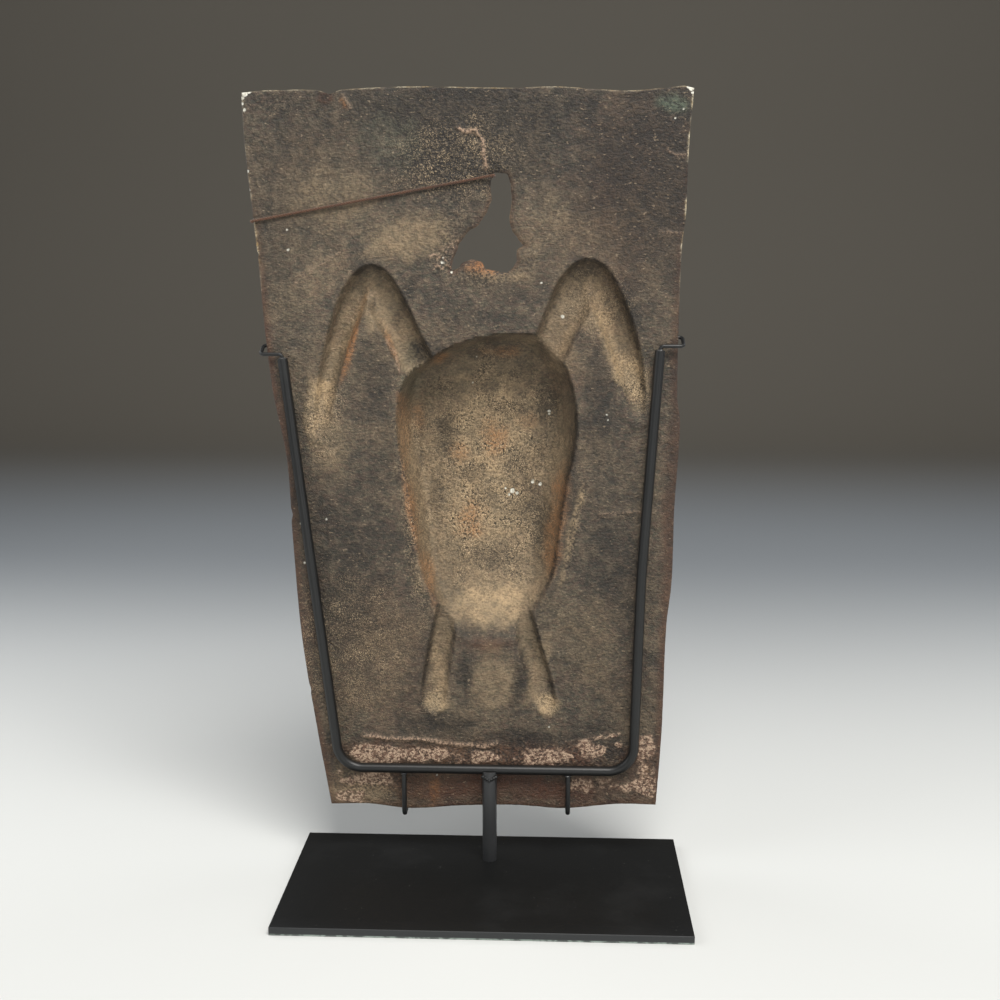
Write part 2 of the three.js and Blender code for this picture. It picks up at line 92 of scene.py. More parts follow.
# The figure's forms: path across and up in shares of its height, half width, depth, widths and
# depths by the share of the way along, and the walls' breadth in mm on either side of the path.
UPPER_ARM_DEPTHS = [(0, -.05), (.06, .55), (.18, .95), (.4, .95), (.7, .85), (.9, .7), (1, -.05)]
LEG_WIDTHS = [(0, 0), (.06, .75), (.25, .9), (.5, 1), (.8, 1), (.93, .75), (1, 0)]
LEG_DEPTHS = [(0, 0), (.2, .8), (.45, 1), (.7, .8), (.9, .4), (1, -.05)]
FORMS = {
    "body": dict(
        depth=30, half=.195, walls=(8.5, 20),
        path=[(.0015, .158), (-.001, .5), (-.002, .7), (-.007, .79), (-.018, .842)],
        widths=[(0, 0), (.03, .3), (.09, .47), (.17, .63), (.24, .74), (.4, .82), (.54, .895),
                (.63, .965), (.72, 1), (.82, .965), (.9, .86), (.96, .65), (.99, .34), (1, 0)],
        depths=[(0, -.02), (.07, .14), (.2, .5), (.36, .78), (.56, .95), (.72, 1), (.86, .93),
                (.94, .74), (.985, .42), (1, -.02)]),
    "left forearm": dict(
        depth=10, half=.0315, walls=(8, 5),
        path=[(-.241, .995), (-.266, .952), (-.29, .91), (-.316, .845), (-.335, .785),
              (-.35, .72), (-.362, .65), (-.368, .61)],
        widths=[(0, 0), (.04, .6), (.12, .95), (.25, 1), (.45, .86), (.7, .7), (.9, .5), (1, 0)],
        depths=[(0, -.05), (.05, .6), (.14, .95), (.35, 1), (.6, .78), (.8, .42), (1, -.05)]),
    "left upper arm": dict(
        depth=10, half=.0395, walls=(6, 9),
        path=[(-.263, .995), (-.239, .955), (-.212, .905), (-.184, .847), (-.155, .79),
              (-.12, .74)],
        widths=[(0, 0), (.05, .55), (.14, .9), (.3, 1), (.6, .98), (.85, .9), (1, 0)],
        depths=UPPER_ARM_DEPTHS),
    "right forearm": dict(
        depth=10, half=.036, walls=(5, 9),
        path=[(.204, 1.003), (.232, .958), (.266, .887), (.295, .806), (.31, .748), (.32, .7),
              (.329, .65)],
        widths=[(0, 0), (.04, .6), (.12, .93), (.3, 1), (.55, .92), (.75, .72), (.9, .5), (1, 0)],
        depths=[(0, -.05), (.05, .6), (.14, .95), (.35, 1), (.6, .82), (.8, .45), (1, -.05)]),
    "right upper arm": dict(
        depth=10, half=.045, walls=(10, 6),
        path=[(.233, 1.004), (.2, .962), (.168, .895), (.144, .842), (.125, .792), (.105, .74)],
        widths=[(0, 0), (.05, .5), (.15, .82), (.32, 1), (.55, .92), (.8, .78), (1, 0)],
        depths=UPPER_ARM_DEPTHS),
    "left leg": dict(
        depth=6, half=.0295, walls=(7.5, 4),
        path=[(-.074, .3), (-.088, .24), (-.102, .17), (-.113, .11), (-.12, .06), (-.122, .02),
              (-.12, -.006)],
        widths=LEG_WIDTHS, depths=LEG_DEPTHS),
    "right leg": dict(
        depth=6, half=.0275, walls=(4, 7.5),
        path=[(.062, .3), (.074, .24), (.089, .17), (.106, .11), (.12, .06), (.13, .025),
              (.134, -.004)],
        widths=LEG_WIDTHS, depths=LEG_DEPTHS),
}

# Patches of patina, some of them painted highlights and painted shade along the forms' rims and
# walls: centre x and z, half width, half height, strength and, where it leans, its turn in degrees
# Among these, the narrow strips at (54, 228) and (58, 246) are painted highlights outside the body's
# right rim; the patches at the ends of the body (1.4, 181), forearms (-105, 317), (-107, 300), (91,
# 326.4) and legs (-35, 112), (39, 112) are partly tan, partly painted light on up-facing floors
TAN_AND_HIGHLIGHTS = [
    (-116.6, 380.3, 33, 13, .16, 35), (-96.5, 434.7, 32, 19, .2), (54, 228, 3, 30, .7, -11),
    (58, 246, 3, 12, .6, -14), (-47.5, 411.8, 27, 15, .4, 10), (-91, 356, 7, 30, .3, -14),
    (-105, 317, 8, 11, 1, -12), (-107, 300, 8, 17, .6, -12), (-71.7, 374.2, 9, 19, .45, 5),
    (64.7, 374.3, 10, 22, .45), (77.4, 346.7, 7, 26, .8, 18), (91, 326.4, 9, 18, 1, 12),
    (1.6, 285, 40, 44, .85), (-85, 52, 22, 13, .4), (4, 389, 20, 4, .45), (1.4, 181, 27, 16, 1),
    (-33.4, 133.6, 6, 22, .4, 8), (-35, 112, 8, 7, 1), (-31, 132, 5, 24, .5, 10),
    (32.1, 134.5, 6, 24, .5, -14), (39, 112, 8, 7, 1), (-101.5, 284, 16, 26, .3),
    (66.3, 156.6, 22, 35, .2), (-4.9, 232, 34, 30, .75), (-74.2, 137.8, 25, 32, .2),
    (4.6, 128.7, 17, 23, .3), (44.6, 416.5, 38, 19, .15), (-40.5, 208.8, 6, 32, .3, -6),
    (45.2, 343.6, 10, 17, .35, 20)]
# Among these, painted shade: the lines outside the left leg (-40, 141), at the foot of the body's
# left wall (-45.5, 275), at the body's right rim (52.9, 268.1) and along the outer rims of the left
# upper arm (-51.1, 374.2) and right forearm (89.4, 368.2), and the arms' top ends (-75.1, 393.7),
# (63.2, 394.3); the band under the body's top rim (1.6, 342.2) is partly painted shade, partly dark
# brown
DARK_AND_SHADE = [
    (-40, 141, 1.8, 25, .9, -10), (-72.5, 371, 3, 5, .9), (-29, 285, 8, 16, .95),
    (-6, 246, 12, 8, .7), (22, 244, 12, 16, .6), (-34, 247, 5, 15, 1), (-11, 262, 9, 10, .8),
    (12, 304, 12, 6, .85), (34, 226, 10, 27, .9), (3, 208, 20, 9, .75), (38, 310, 9, 15, .8),
    (16, 268, 9, 10, .7), (105, 420, 30, 60, .35), (119, 290, 7, 90, .5), (-125, 262, 7, 60, .5, -8),
    (-10.2, 488.4, 50, 12, .9), (-21.3, 458.1, 40, 26, .85), (-98.2, 495, 3.5, 2.5, .9),
    (85, 440, 44, 46, .5), (-10, 488, 66, 18, .6), (-12, 476, 60, 30, .3),
    (-10.8, 360.7, 30, 12, .35), (-70.2, 321.4, 13, 28, .6), (68.7, 306.3, 10, 36, .65),
    (-100.4, 228.1, 25, 40, .6), (79.7, 206.7, 22, 39, .55), (-28.5, 99.2, 23, 8, .9),
    (21.1, 92.4, 13, 5, .7), (74, 97, 15, 4, .6), (82, 80, 10, 6, .9), (-5, 80, 10, 4, .9),
    (101, 55, 9, 6, 1), (-45.5, 275, 1.6, 26, .7, -2), (-62, 74, 6, 4, .5), (-14, 161, 12, 5, .5),
    (-112, 450, 30, 46, .2), (30, 470, 24, 26, .3), (20, 88, 90, 5, .6), (-80, 200, 20, 90, .35, -8),
    (84, 250, 16, 80, .3, 6), (31, 90, 19, 5, .9), (1.6, 342.2, 39, 8, .6),
    (-75.1, 393.7, 11, 6, .7), (63.2, 394.3, 13, 6, .6), (52.9, 268.1, 5, 54, .7),
    (-51.1, 374.2, 5, 26, .6, -24), (89.4, 368.2, 4, 32, .7, 20), (-40, 343, 12, 8, .8),
    (-15, 134, 4.5, 17, .75, 6), (20, 128, 5.5, 19, .8, -10), (-128.4, 404.7, 19, 39, .25),
    (92.5, 457.7, 32, 32, .25), (-92.7, 168.2, 26, 42, .6), (80, 150, 30, 40, .4),
    (-112, 160, 8, 60, .5, -8)]
RUST = [
    (-98.2, 495, 5, 3.5, 1), (0, 153, 20, 5, .6), (122.8, 356, 6, 123, .7), (92.7, 446, 44, 71, .35),
    (-32, 53, 32, 10, 1), (48, 53, 25, 9, .9), (8, 59, 38, 6, 1), (5, 77, 104, 12, 1),
    (0, 55, 110, 12, .7), (-120, 154.3, 9, 52, .5, -8), (-70.7, 148.1, 35, 52, .3),
    (100.5, 67.9, 15, 26, .4), (116.6, 210.3, 6, 90, .7), (-130.5, 299, 5, 39, .6, -6),
    (69.6, 374.3, 25, 77, .15), (45.3, 337.4, 13, 26, .3, 10)]
CRUST = [
    (-55, 76, 46, 7, 1), (-75, 75, 20, 8, .9), (-1, 75, 14, 6, .8), (38, 76, 20, 7, .85),
    (67, 81, 14, 8, .75), (75, 90, 12, 3, .7, 10), (86, 82, 5, 6, .6), (103, 83, 10, 10, .65),
    (103, 61, 10, 15, .48), (74, 57, 26, 7, .5), (-75, 58, 17, 8, .8), (-93, 46, 12, 5, .9),
    (107, 54, 5, 10, .8), (-96, 61, 8, 9, .35)]
# Among these, the strips along the body's left rim (-54.5, 290), (-49, 240), (-39, 197) and on the
# left forearm's inner wall (-85.5, 346) are painted highlights
ORANGE_AND_HIGHLIGHTS = [
    (-2, 393.7, 10, 5, 1), (3.5, 284, 9, 12, .9), (-20, 275, 7, 6, .75), (-12, 233, 9, 11, .85),
    (-12, 222, 11, 3, .6), (9, 341, 12, 4, .5), (-54.5, 290, 2.5, 32, .5, 3),
    (-49, 240, 3, 27, .8, 9), (-39, 197, 3, 20, .6, 14), (44, 232, 6, 34, .8, -8),
    (-85.5, 346, 2.2, 27, .9, -16), (-60, 344, 1.4, 13, .7, 22), (-31, 337.5, 6, 3, .7, 30),
    (-46.5, 299.4, 5, 9, .5), (24, 297, 7, 7, .3), (-86.8, 491.5, 1.3, 4, .8, 24),
    (104, 66, 4, 10, .3), (-36, 52, 4, 13, .5)]
GRIT = [
    (1.6, 270, 46, 66, 1), (2, 222, 38, 34, .9), (-104, 300, 14, 26, 1, -12),
    (90, 328, 12, 22, 1, 12), (-35, 112, 8, 8, .8), (39, 112, 8, 8, .8), (70, 372, 22, 24, .6),
    (-48, 240, 8, 80, .6, 5), (-20, 458, 40, 26, .8), (-90, 150, 50, 50, .6)]
GREEN = [
    (111, 491, 10, 5, .7, -14), (-60, 470, 18, 18, .2), (-50, 330, 6, 20, .25)]
PITTED = [
    (-22, 460, 36, 24, 1), (-27, 399, 9, 11, .8), (-20, 420, 12, 18, .6), (20, 76, 100, 12, .9),
    (-2, 390, 20, 8, .9), (-40, 343, 12, 9, .8), (55, 226, 4, 42, .8, -11), (-52, 236, 4, 60, .5, 6),
    (-80, 56, 30, 14, .7), (-128, 492, 14, 6, .6), (112, 488, 14, 9, .6)]

# Folds where no painted shade is laid, in the same way
UNSHADED_FOLDS = [
    (-88, 332, 14, 52, 1, -16), (-26, 134, 7, 30, 1, -8)]

# Thick places at the hole's broken rim: centre x and z, half width, half height and height
LUMPS = [
    (-7, 392, 9, 3.6, 1.1), (-1, 389, 5, 3, .8), (10, 391, 4, 2.4, .8), (20, 399, 3.4, 2.6, .8),
    (26, 403, 3.4, 1.4, .7), (-17, 398, 2.6, 4, .8), (-12, 408, 2.4, 4, .6), (16, 412, 1.6, 5, .5)]

# Raised seams on the hollow side: points, half width and height
SEAMS = [
    ([(-17.5, 477), (-12.7, 474), (-7, 475), (-3, 470), (-2.4, 461), (-.6, 453)], 1.3, 1),
    ([(-81.8, 88.6), (-68.5, 87.4), (-55.2, 87), (-41.9, 87.2), (-31.9, 85.2), (-18.6, 83.4),
      (-2.1, 82.9), (5.9, 84.5)], 1.3, 1.1),
    ([(71.6, 239.9), (96.9, 241.4)], .8, .4),
    ([(109.1, 463.4), (114, 460.5), (122.4, 461)], .8, .4),
    ([(105.5, 415.2), (123.7, 414)], .8, .35),
    ([(-86.4, 494.6), (-82.9, 488.8)], 1, .5),
    ([(-63.4, 349.5), (-58.5, 340.9), (-54.9, 329.6)], 1.1, .6),
    ([(-116, 389), (-102, 396), (-88, 405)], .9, .3),
    ([(-122, 383), (-110, 391), (-98, 400)], .7, .25),
]

# Ring marks: centre x and z and radius
RINGS = [
    (-19.2, 407.6, 1.8), (-28.5, 397.3, 2.2), (-32.8, 399.8, 1.6), (-24.8, 392.5, 2),
    (-22.3, 404.6, 1.5), (-72.9, 375.4, 2.2), (-27, 402.5, 1.5), (-30.5, 393, 1.7)]

# Shallow strokes across the body: centre x and z, length and turn in degrees
STROKES = [
    (-11.2, 251, 6, 80), (-6.1, 250.5, 6.5, 96), (1.5, 251.7, 5, 70), (6.2, 250.4, 6, 100),
    (11.7, 250.8, 8, 86), (16.8, 250.9, 7.5, 92), (14.2, 251.2, 4, 8), (22.6, 252.4, 6, 78),
    (26.2, 252.2, 6, 104), (31.2, 252, 6.5, 84), (34.6, 251.3, 5, 100)]

# Small pale chips: centre x and z and radius
CHIPS = [
    (15, 249.8, 1.5), (18, 248.4, 1), (12.8, 247.6, .8), (10.4, 251.6, .6), (28.2, 255.8, 1),
    (33.3, 254.5, 1.1), (38.7, 302.4, .9), (38.9, 300.8, .7), (46.9, 363.9, 1.1), (75, 303.1, .45),
    (75.7, 300, .4), (-123.6, 416.8, .6), (-123.4, 404.7, .7), (-145.3, 401.7, .8),
    (-147, 497.4, 1.7), (122.4, 499, 1.5), (-147.4, 488, .9), (-34, 62, .5), (40, 97, .5),
    (-120.5, 232, .6), (-119, 206, .6), (-148.2, 495, 1), (-144, 498.4, .9), (-148.4, 491.5, .7),
    (120.6, 500, 1), (123.2, 496.6, .9), (118, 487, .5), (113, 482, .4), (-104, 235, .5),
    (-28, 397, .7), (-27.4, 400, .5), (-22, 391, .6), (-146.6, 452, .7), (-146.2, 441, .6),
    (-144, 421, .5), (33.4, 384.6, .5), (-8, 338, .4), (-11, 321, .35)]

# Chips along the outer edge: place along it, depth and half width
EDGE_CHIPS_LEFT = [(401.7, 1.2, 1.5), (455, .6, 2), (238, 1.2, 3), (121, .9, 2)]
EDGE_CHIPS_TOP = [(-95, 1.3, 4), (-124, .6, 3), (108, .7, 3), (60, .4, 5)]


# Curves, noise and patches, all in plain numbers
def along(pairs):
    """A smooth curve through pairs of share and value."""
    shares, values = np.array(pairs, float).T
    last = len(shares) - 1
    before = np.maximum(np.arange(last + 1) - 1, 0)
    after = np.minimum(np.arange(last + 1) + 1, last)
    slopes = (values[after] - values[before]) / (shares[after] - shares[before])

    def curve(share):
        share = np.asarray(share, float)
        i = np.clip(np.searchsorted(shares, share) - 1, 0, last - 1)
        span = shares[i + 1] - shares[i]
        t = np.clip((share - shares[i]) / span, 0, 1)
        return ((2 * t**3 - 3 * t**2 + 1) * values[i] + (t**3 - 2 * t**2 + t) * span * slopes[i]
                + (3 * t**2 - 2 * t**3) * values[i + 1] + (t**3 - t**2) * span * slopes[i + 1])

    return curve


def ease(value, low, high):
    t = np.clip((value - low) / (high - low), 0, 1)
    return t * t * (3 - 2 * t)


def hump(away, reach):
    """A soft bump: 1 in the middle, nearly nothing at twice its reach."""
    return np.exp(-(away / reach)**2)


def cloud(x, z, size, octaves=3, seed=0):
    """Smooth noise from -1 to 1, with features of the given size in millimetres."""
    lattice = np.random.default_rng(seed).uniform(-1, 1, (256, 256))
    total = np.zeros_like(x, dtype=float)
    weight = 0
    for k in range(octaves):
        turn = .6 + 1.1 * k
        px = (x * math.cos(turn) - z * math.sin(turn)) / size * 2**k + 17.3 * k
        pz = (x * math.sin(turn) + z * math.cos(turn)) / size * 2**k + 5.1 * k
        ix, iz = np.floor(px).astype(int), np.floor(pz).astype(int)
        fx, fz = ease(px - ix, 0, 1), ease(pz - iz, 0, 1)
        a, b = lattice[ix & 255, iz & 255], lattice[(ix + 1) & 255, iz & 255]
        c, d = lattice[ix & 255, (iz + 1) & 255], lattice[(ix + 1) & 255, (iz + 1) & 255]
        total += .5**k * ((a * (1 - fx) + b * fx) * (1 - fz) + (c * (1 - fx) + d * fx) * fz)
        weight += .5**k
    return total / weight


def patches(x, z, table, ragged=.5, seed=1):
    """How strongly each point lies in any of a table's soft patches, with ragged edges."""
    stray = ragged * cloud(x, z, 9, 4, seed)
    clear = np.ones_like(x, dtype=float)
    for cx, cz, rx, rz, strength, *lean in table:
        turn = math.radians(sum(lean))
        c, s = math.cos(turn), math.sin(turn)
        dx, dz = x - cx, z - cz
        reach = np.hypot((dx * c + dz * s) / rx, (dz * c - dx * s) / rz) + stray
        clear *= 1 - strength * (1 - ease(reach, .35, 1.35))
    return 1 - clear


def near_line(x, z, points):
    """Distance to a line through the points."""
    best = np.full_like(x, 1e9, dtype=float)
    for (ax, az), (bx, bz) in zip(points, points[1:]):
        length = (bx - ax)**2 + (bz - az)**2
        t = np.clip(((x - ax) * (bx - ax) + (z - az) * (bz - az)) / length, 0, 1)
        best = np.minimum(best, np.hypot(x - ax - t * (bx - ax), z - az - t * (bz - az)))
    return best


# The plaque's outline
left_waver, right_waver = along(LEFT_WAVER), along(RIGHT_WAVER)
top_waver, bottom_waver = along(TOP_WAVER), along(BOTTOM_WAVER)


def side_edge(z, outwards, waver):
    share = (z - FOOT_Z) / HEIGHT
    half = (BOTTOM_WIDTH + (TOP_WIDTH - BOTTOM_WIDTH) * share) / 2
    centre = BOTTOM_CENTRE + (TOP_CENTRE - BOTTOM_CENTRE) * share
    return centre + outwards * half + outwards * waver(share)


def left_edge(z):
    return side_edge(z, -1, left_waver)


def right_edge(z):
    return side_edge(z, 1, right_waver)


def bottom_edge(x):
    return FOOT_Z - bottom_waver((x - BOTTOM_CENTRE) / BOTTOM_WIDTH + .5)


def share_across(x, z):
    return (x - left_edge(z)) / (right_edge(z) - left_edge(z))


def top_edge(x, z):
    return FOOT_Z + HEIGHT + top_waver(share_across(x, z))


def hole_outline():
    """The hole's outline with small broken steps between its corners."""
    corners = [(x * HEIGHT, FOOT_Z + z * HEIGHT) for x, z in HOLE]
    points = []
    for (ax, az), (bx, bz) in zip(corners, corners[1:] + corners[:1]):
        steps = max(1, round(math.hypot(bx - ax, bz - az) / 1.2))
        points += [(ax + (bx - ax) * k / steps, az + (bz - az) * k / steps) for k in range(steps)]
    x, z = np.array(points).T
    return x + .5 * cloud(x, z, 2.4, 2, 41), z + .5 * cloud(x, z, 2.4, 2, 42)


HOLE_X, HOLE_Z = hole_outline()


def from_hole(x, z):
    """Distance outside the hole's rim, less than nothing inside it, and the nearest rim point."""
    ax, az = HOLE_X, HOLE_Z
    bx, bz = np.roll(ax, -1), np.roll(az, -1)
    best = np.full(len(x), 1e9)
    near_x, near_z = np.zeros(len(x)), np.zeros(len(x))
    inside = np.zeros(len(x), bool)
    for i in range(len(ax)):
        ex, ez = bx[i] - ax[i], bz[i] - az[i]
        t = np.clip(((x - ax[i]) * ex + (z - az[i]) * ez) / (ex * ex + ez * ez), 0, 1)
        qx, qz = ax[i] + t * ex, az[i] + t * ez
        away = np.hypot(x - qx, z - qz)
        closer = away < best
        best[closer], near_x[closer], near_z[closer] = away[closer], qx[closer], qz[closer]
        crosses = (az[i] > z) != (bz[i] > z)
        if abs(ez) > 1e-9:
            inside ^= crosses & (x < ax[i] + (z - az[i]) / ez * ex)
    return np.where(inside, -best, best), near_x, near_z


# The figure's forms
ROUTE_POINTS = 90
NO_RIM = 99


def route_of(form):
    points = [Vector((x * FIGURE_HEIGHT, FOOT_Z + FIGURE_ABOVE_EDGE + z * FIGURE_HEIGHT))
              for x, z in form["path"]]
    steps = [0]
    for a, b in zip(points, points[1:]):
        steps.append(steps[-1] + (b - a).length)
    shares = [s / steps[-1] for s in steps]
    t = np.linspace(0, 1, ROUTE_POINTS)
    x = along(list(zip(shares, [p.x for p in points])))(t)
    z = along(list(zip(shares, [p.y for p in points])))(t)
    return x, z, steps[-1]


def form_depth(x, z, form, wall):
    """How deep a form is at each point, and how far the point lies outside its rim."""
    rx, rz, length = form["route"]
    depth = np.zeros_like(x)
    rim = np.full_like(x, float(NO_RIM))
    reach = form["half"] * FIGURE_HEIGHT + wall + 12
    close = np.flatnonzero((x > rx.min() - reach) & (x < rx.max() + reach)
                           & (z > rz.min() - 14) & (z < rz.max() + 14))
    px, pz = x[close], z[close]
    i = np.argmin((px[:, None] - rx)**2 + (pz[:, None] - rz)**2, axis=1)
    tx, tz = np.gradient(rx)[i], np.gradient(rz)[i]
    size = np.hypot(tx, tz)
    tx, tz = tx / size, tz / size
    ahead = (px - rx[i]) * tx + (pz - rz[i]) * tz
    aside = (px - rx[i]) * tz - (pz - rz[i]) * tx
    total = length + 2 * wall
    share = np.clip((i / (ROUTE_POINTS - 1) * length + ahead + wall) / total, 0, 1)
    half = np.maximum(form["width at"](share), 1e-3) * (form["half"] * FIGURE_HEIGHT + wall)
    t = np.abs(aside) / half
    if wall == 0:
        breadth = np.where(aside > 0, form["walls"][1], form["walls"][0])
        inside = 1 - (1 - np.clip((half - np.abs(aside)) / breadth, 0, 1))**2.3
    else:
        inside = np.clip(1 - t**2.5, 0, 1)**.4
    lead = form["depth at"](share) * form["depth"]
    deep = (lead * inside) if wall == 0 else 1 + (lead + wall - 1) * inside
    ends = (share > 0) & (share < 1) & (t < 1)
    depth[close] = np.where(ends, np.maximum(deep, 0), 0)
    rim[close] = np.where((share > .01) & (share < .99), np.abs(aside) - half, NO_RIM)
    return depth, rim


for form in FORMS.values():
    form["route"] = route_of(form)
    form["width at"], form["depth at"] = along(form["widths"]), along(form["depths"])

SPREAD = [(0, 0), (.45, .45), (-.45, .45), (.45, -.45), (-.45, -.45)]


def hollows(x, z):
    """Depth of the figure's hollows, softened, and the distance outside the nearest rim."""
    total = np.zeros_like(x)
    rim = np.full_like(x, float(NO_RIM))
    for dx, dz in SPREAD:
        deepest = np.zeros_like(x)
        for form in FORMS.values():
            depth, edge = form_depth(x + dx, z + dz, form, 0)
            deepest = np.maximum(deepest, depth)
            rim = np.minimum(rim, edge)
        total += deepest / len(SPREAD)
    return total, rim


def raised(x, z):
    """Height of the figure on the far side, over the sheet's back plane."""
    total = np.zeros_like(x)
    for dx, dz in SPREAD:
        highest = np.full_like(x, float(WALL))
        for form in FORMS.values():
            highest = np.maximum(highest, form_depth(x + 2 * dx, z + 2 * dz, form, WALL)[0])
        total += highest / len(SPREAD)
    return np.maximum(total, hollows(x, z)[0] + 2.2)


def crust_cover(x, z):
    """How far the pale crust covers each point, with a torn edge and gaps."""
    torn = patches(x, z, CRUST, .4, 6)
    torn = torn + .4 * cloud(x, 1.7 * z, 9, 3, 61) + .26 * cloud(x, 1.3 * z, 3, 3, 62)
    return ease(torn, .36, .64)


def seam_lines(x, z):
    """How near each point is to one of the raised seams, up to 1 on it."""
    nearest = np.zeros_like(x)
    for points, half, height in SEAMS:
        away = near_line(x + .8 * cloud(x, z, 6, 2, 14), z + .8 * cloud(x, z, 6, 2, 15), points)
        nearest = np.maximum(nearest, height * hump(away, half))
    return nearest


def surface_detail(x, z):
    """Small ups and downs of the hollow side: pits, seams, rings, strokes and cast unevenness."""
    pitted = patches(x, z, PITTED, .4, 5)
    relief = .55 * cloud(x, z, 70, 2, 11) + .3 * cloud(x, z, 19, 3, 16) + .2 * cloud(x, z, 5, 3, 12)
    relief -= crust_cover(x, z) * (.3 + .12 * cloud(x, z, 2.4, 3, 63))
    relief += pitted * (.75 * np.abs(cloud(x, z, 4.2, 2, 13)) - .2)
    relief -= seam_lines(x, z)
    for cx, cz, radius in RINGS:
        away = np.hypot(x - cx, z - cz)
        relief += .3 * hump(away, radius) - .25 * hump(away - 1.5 * radius, .8)
    for cx, cz, rx, rz, height in LUMPS:
        relief -= height * np.exp(-((x - cx) / rx)**2 - ((z - cz) / rz)**2)
    for cx, cz, length, turn in STROKES:
        dx = math.cos(math.radians(turn)) * length / 2
        dz = math.sin(math.radians(turn)) * length / 2
        away = near_line(x, z, [(cx - dx, cz - dz), (cx + dx, cz + dz)])
        relief += .55 * hump(away, .65)
    for cx, cz, radius in CHIPS:
        relief += .3 * hump(np.hypot(x - cx, z - cz), radius)
    return relief


# Working by hand on a mesh
def started(name, primitive, **sizes):
    """A new primitive, to be shaped into a piece."""
    bpy.ops.object.select_all(action="DESELECT")
    primitive(**sizes)
    obj = bpy.context.object
    obj.name = obj.data.name = name
    return obj


def alone(obj):
    if bpy.context.object and bpy.context.object.mode != "OBJECT":
        bpy.ops.object.mode_set(mode="OBJECT")
    bpy.ops.object.select_all(action="DESELECT")
    obj.select_set(True)
    bpy.context.view_layer.objects.active = obj


def numbers_of(items, key, each, kind=float):
    """One row of numbers for each vertex, edge, face or corner."""
    flat = np.empty(len(items) * each, kind)
    items.foreach_get(key, flat)
    return flat.reshape(-1, each)


def points_of(obj):
    return numbers_of(obj.data.vertices, "co", 3)


def place_points(obj, points):
    obj.data.vertices.foreach_set("co", np.ascontiguousarray(points, float).ravel())
    obj.data.update()


def edit_chosen(obj, kind, chosen):
    """Enters edit mode with just the chosen vertices, edges or faces selected."""
    alone(obj)
    mesh = obj.data
    for part in ("vertices", "edges", "polygons"):
        items = getattr(mesh, part)
        picked = chosen if part == kind else np.zeros(len(items), bool)
        items.foreach_set("select", picked)
    bpy.context.tool_settings.mesh_select_mode = (
        kind == "vertices", kind == "edges", kind == "polygons")
    bpy.ops.object.mode_set(mode="EDIT")


def done():
    bpy.ops.object.mode_set(mode="OBJECT")


def edit_all(obj, kind="polygons"):
    edit_chosen(obj, kind, np.ones(len(getattr(obj.data, kind)), bool))


def joined(parts):
    alone(parts[0])
    for other in parts[1:]:
        other.select_set(True)
    bpy.ops.object.join()
    return parts[0]


def smoothed(obj, degrees=50):
    alone(obj)
    bpy.ops.object.shade_smooth_by_angle(angle=math.radians(degrees))
    return obj


def edges_rounded(obj, name, width, segments):
    """Rounds the edges that turn by more than 60 degrees."""
    alone(obj)
    bevel = obj.modifiers.new(name, "BEVEL")
    bevel.width, bevel.segments = width * MM, segments
    bevel.limit_method, bevel.angle_limit = "ANGLE", math.radians(60)
    bpy.ops.object.modifier_apply(modifier=bevel.name)


def face_centres(obj):
    return numbers_of(obj.data.polygons, "center", 3)


def rim_edges(obj):
    """Which edges have only one face, and every edge's two vertices."""
    mesh = obj.data
    used = numbers_of(mesh.loops, "edge_index", 1, int)[:, 0]
    ends = numbers_of(mesh.edges, "vertices", 2, int)
    return np.bincount(used, minlength=len(mesh.edges)) == 1, ends


def shares_across(count, margin):
    """Even shares from 0 to 1, with closer ones at both ends for a rounded rim."""
    rim = np.array([0, .22, .55]) * margin
    middle = np.linspace(margin, 1 - margin, count + 1 - 2 * len(rim))
    return np.concatenate([rim, middle, 1 - rim[::-1]])


def sheet(name, columns, rows):
    """One side of the plaque as a grid in its tapered, wavering outline."""
    obj = started(name, bpy.ops.mesh.primitive_grid_add, x_subdivisions=columns,
                  y_subdivisions=rows, size=1)
    flat = points_of(obj)
    i = np.rint((flat[:, 0] + .5) * columns).astype(int)
    j = np.rint((flat[:, 1] + .5) * rows).astype(int)
    u, v = shares_across(columns, .0065)[i], shares_across(rows, .004)[j]
    z = FOOT_Z + HEIGHT * v
    left = left_edge(z) + .45 * np.abs(cloud(z, 0 * z, 7, 3, 21)) + edge_chips(z, EDGE_CHIPS_LEFT)
    right = right_edge(z) - .35 * np.abs(cloud(z, 0 * z, 8, 3, 22))
    x = left + (right - left) * u
    low = -bottom_waver(u) + .4 * np.abs(cloud(x, 0 * x, 8, 3, 23))
    high = top_waver(u) - .35 * np.abs(cloud(x, 0 * x, 6, 3, 24)) - edge_chips(x, EDGE_CHIPS_TOP)
    z = z + ease(v, .93, 1) * high + ease(1 - v, .93, 1) * low
    place_points(obj, np.stack([x, z, 0 * x], 1))
    return obj


def edge_chips(at, table):
    return sum(depth * hump(at - place, width) for place, depth, width in table)


def refine(obj, where):
    """Splits the faces whose centre meets a test, once."""
    centre = face_centres(obj)
    edit_chosen(obj, "polygons", where(centre[:, 0], centre[:, 1]))
    bpy.ops.mesh.subdivide(number_cuts=1)
    done()


def cut_hole(obj):
    """Takes out the faces inside the hole and draws the rim left on to the hole's outline."""
    centre = face_centres(obj)
    edit_chosen(obj, "polygons", from_hole(centre[:, 0], centre[:, 1])[0] < 0)
    bpy.ops.mesh.delete(type="FACE")
    done()
    single, ends = rim_edges(obj)
    flat = points_of(obj)
    rim = np.unique(ends[single])
    away, near_x, near_z = from_hole(flat[rim, 0], flat[rim, 1])
    inner = np.abs(away) < 6
    flat[rim[inner], 0], flat[rim[inner], 1] = near_x[inner], near_z[inner]
    place_points(obj, flat)


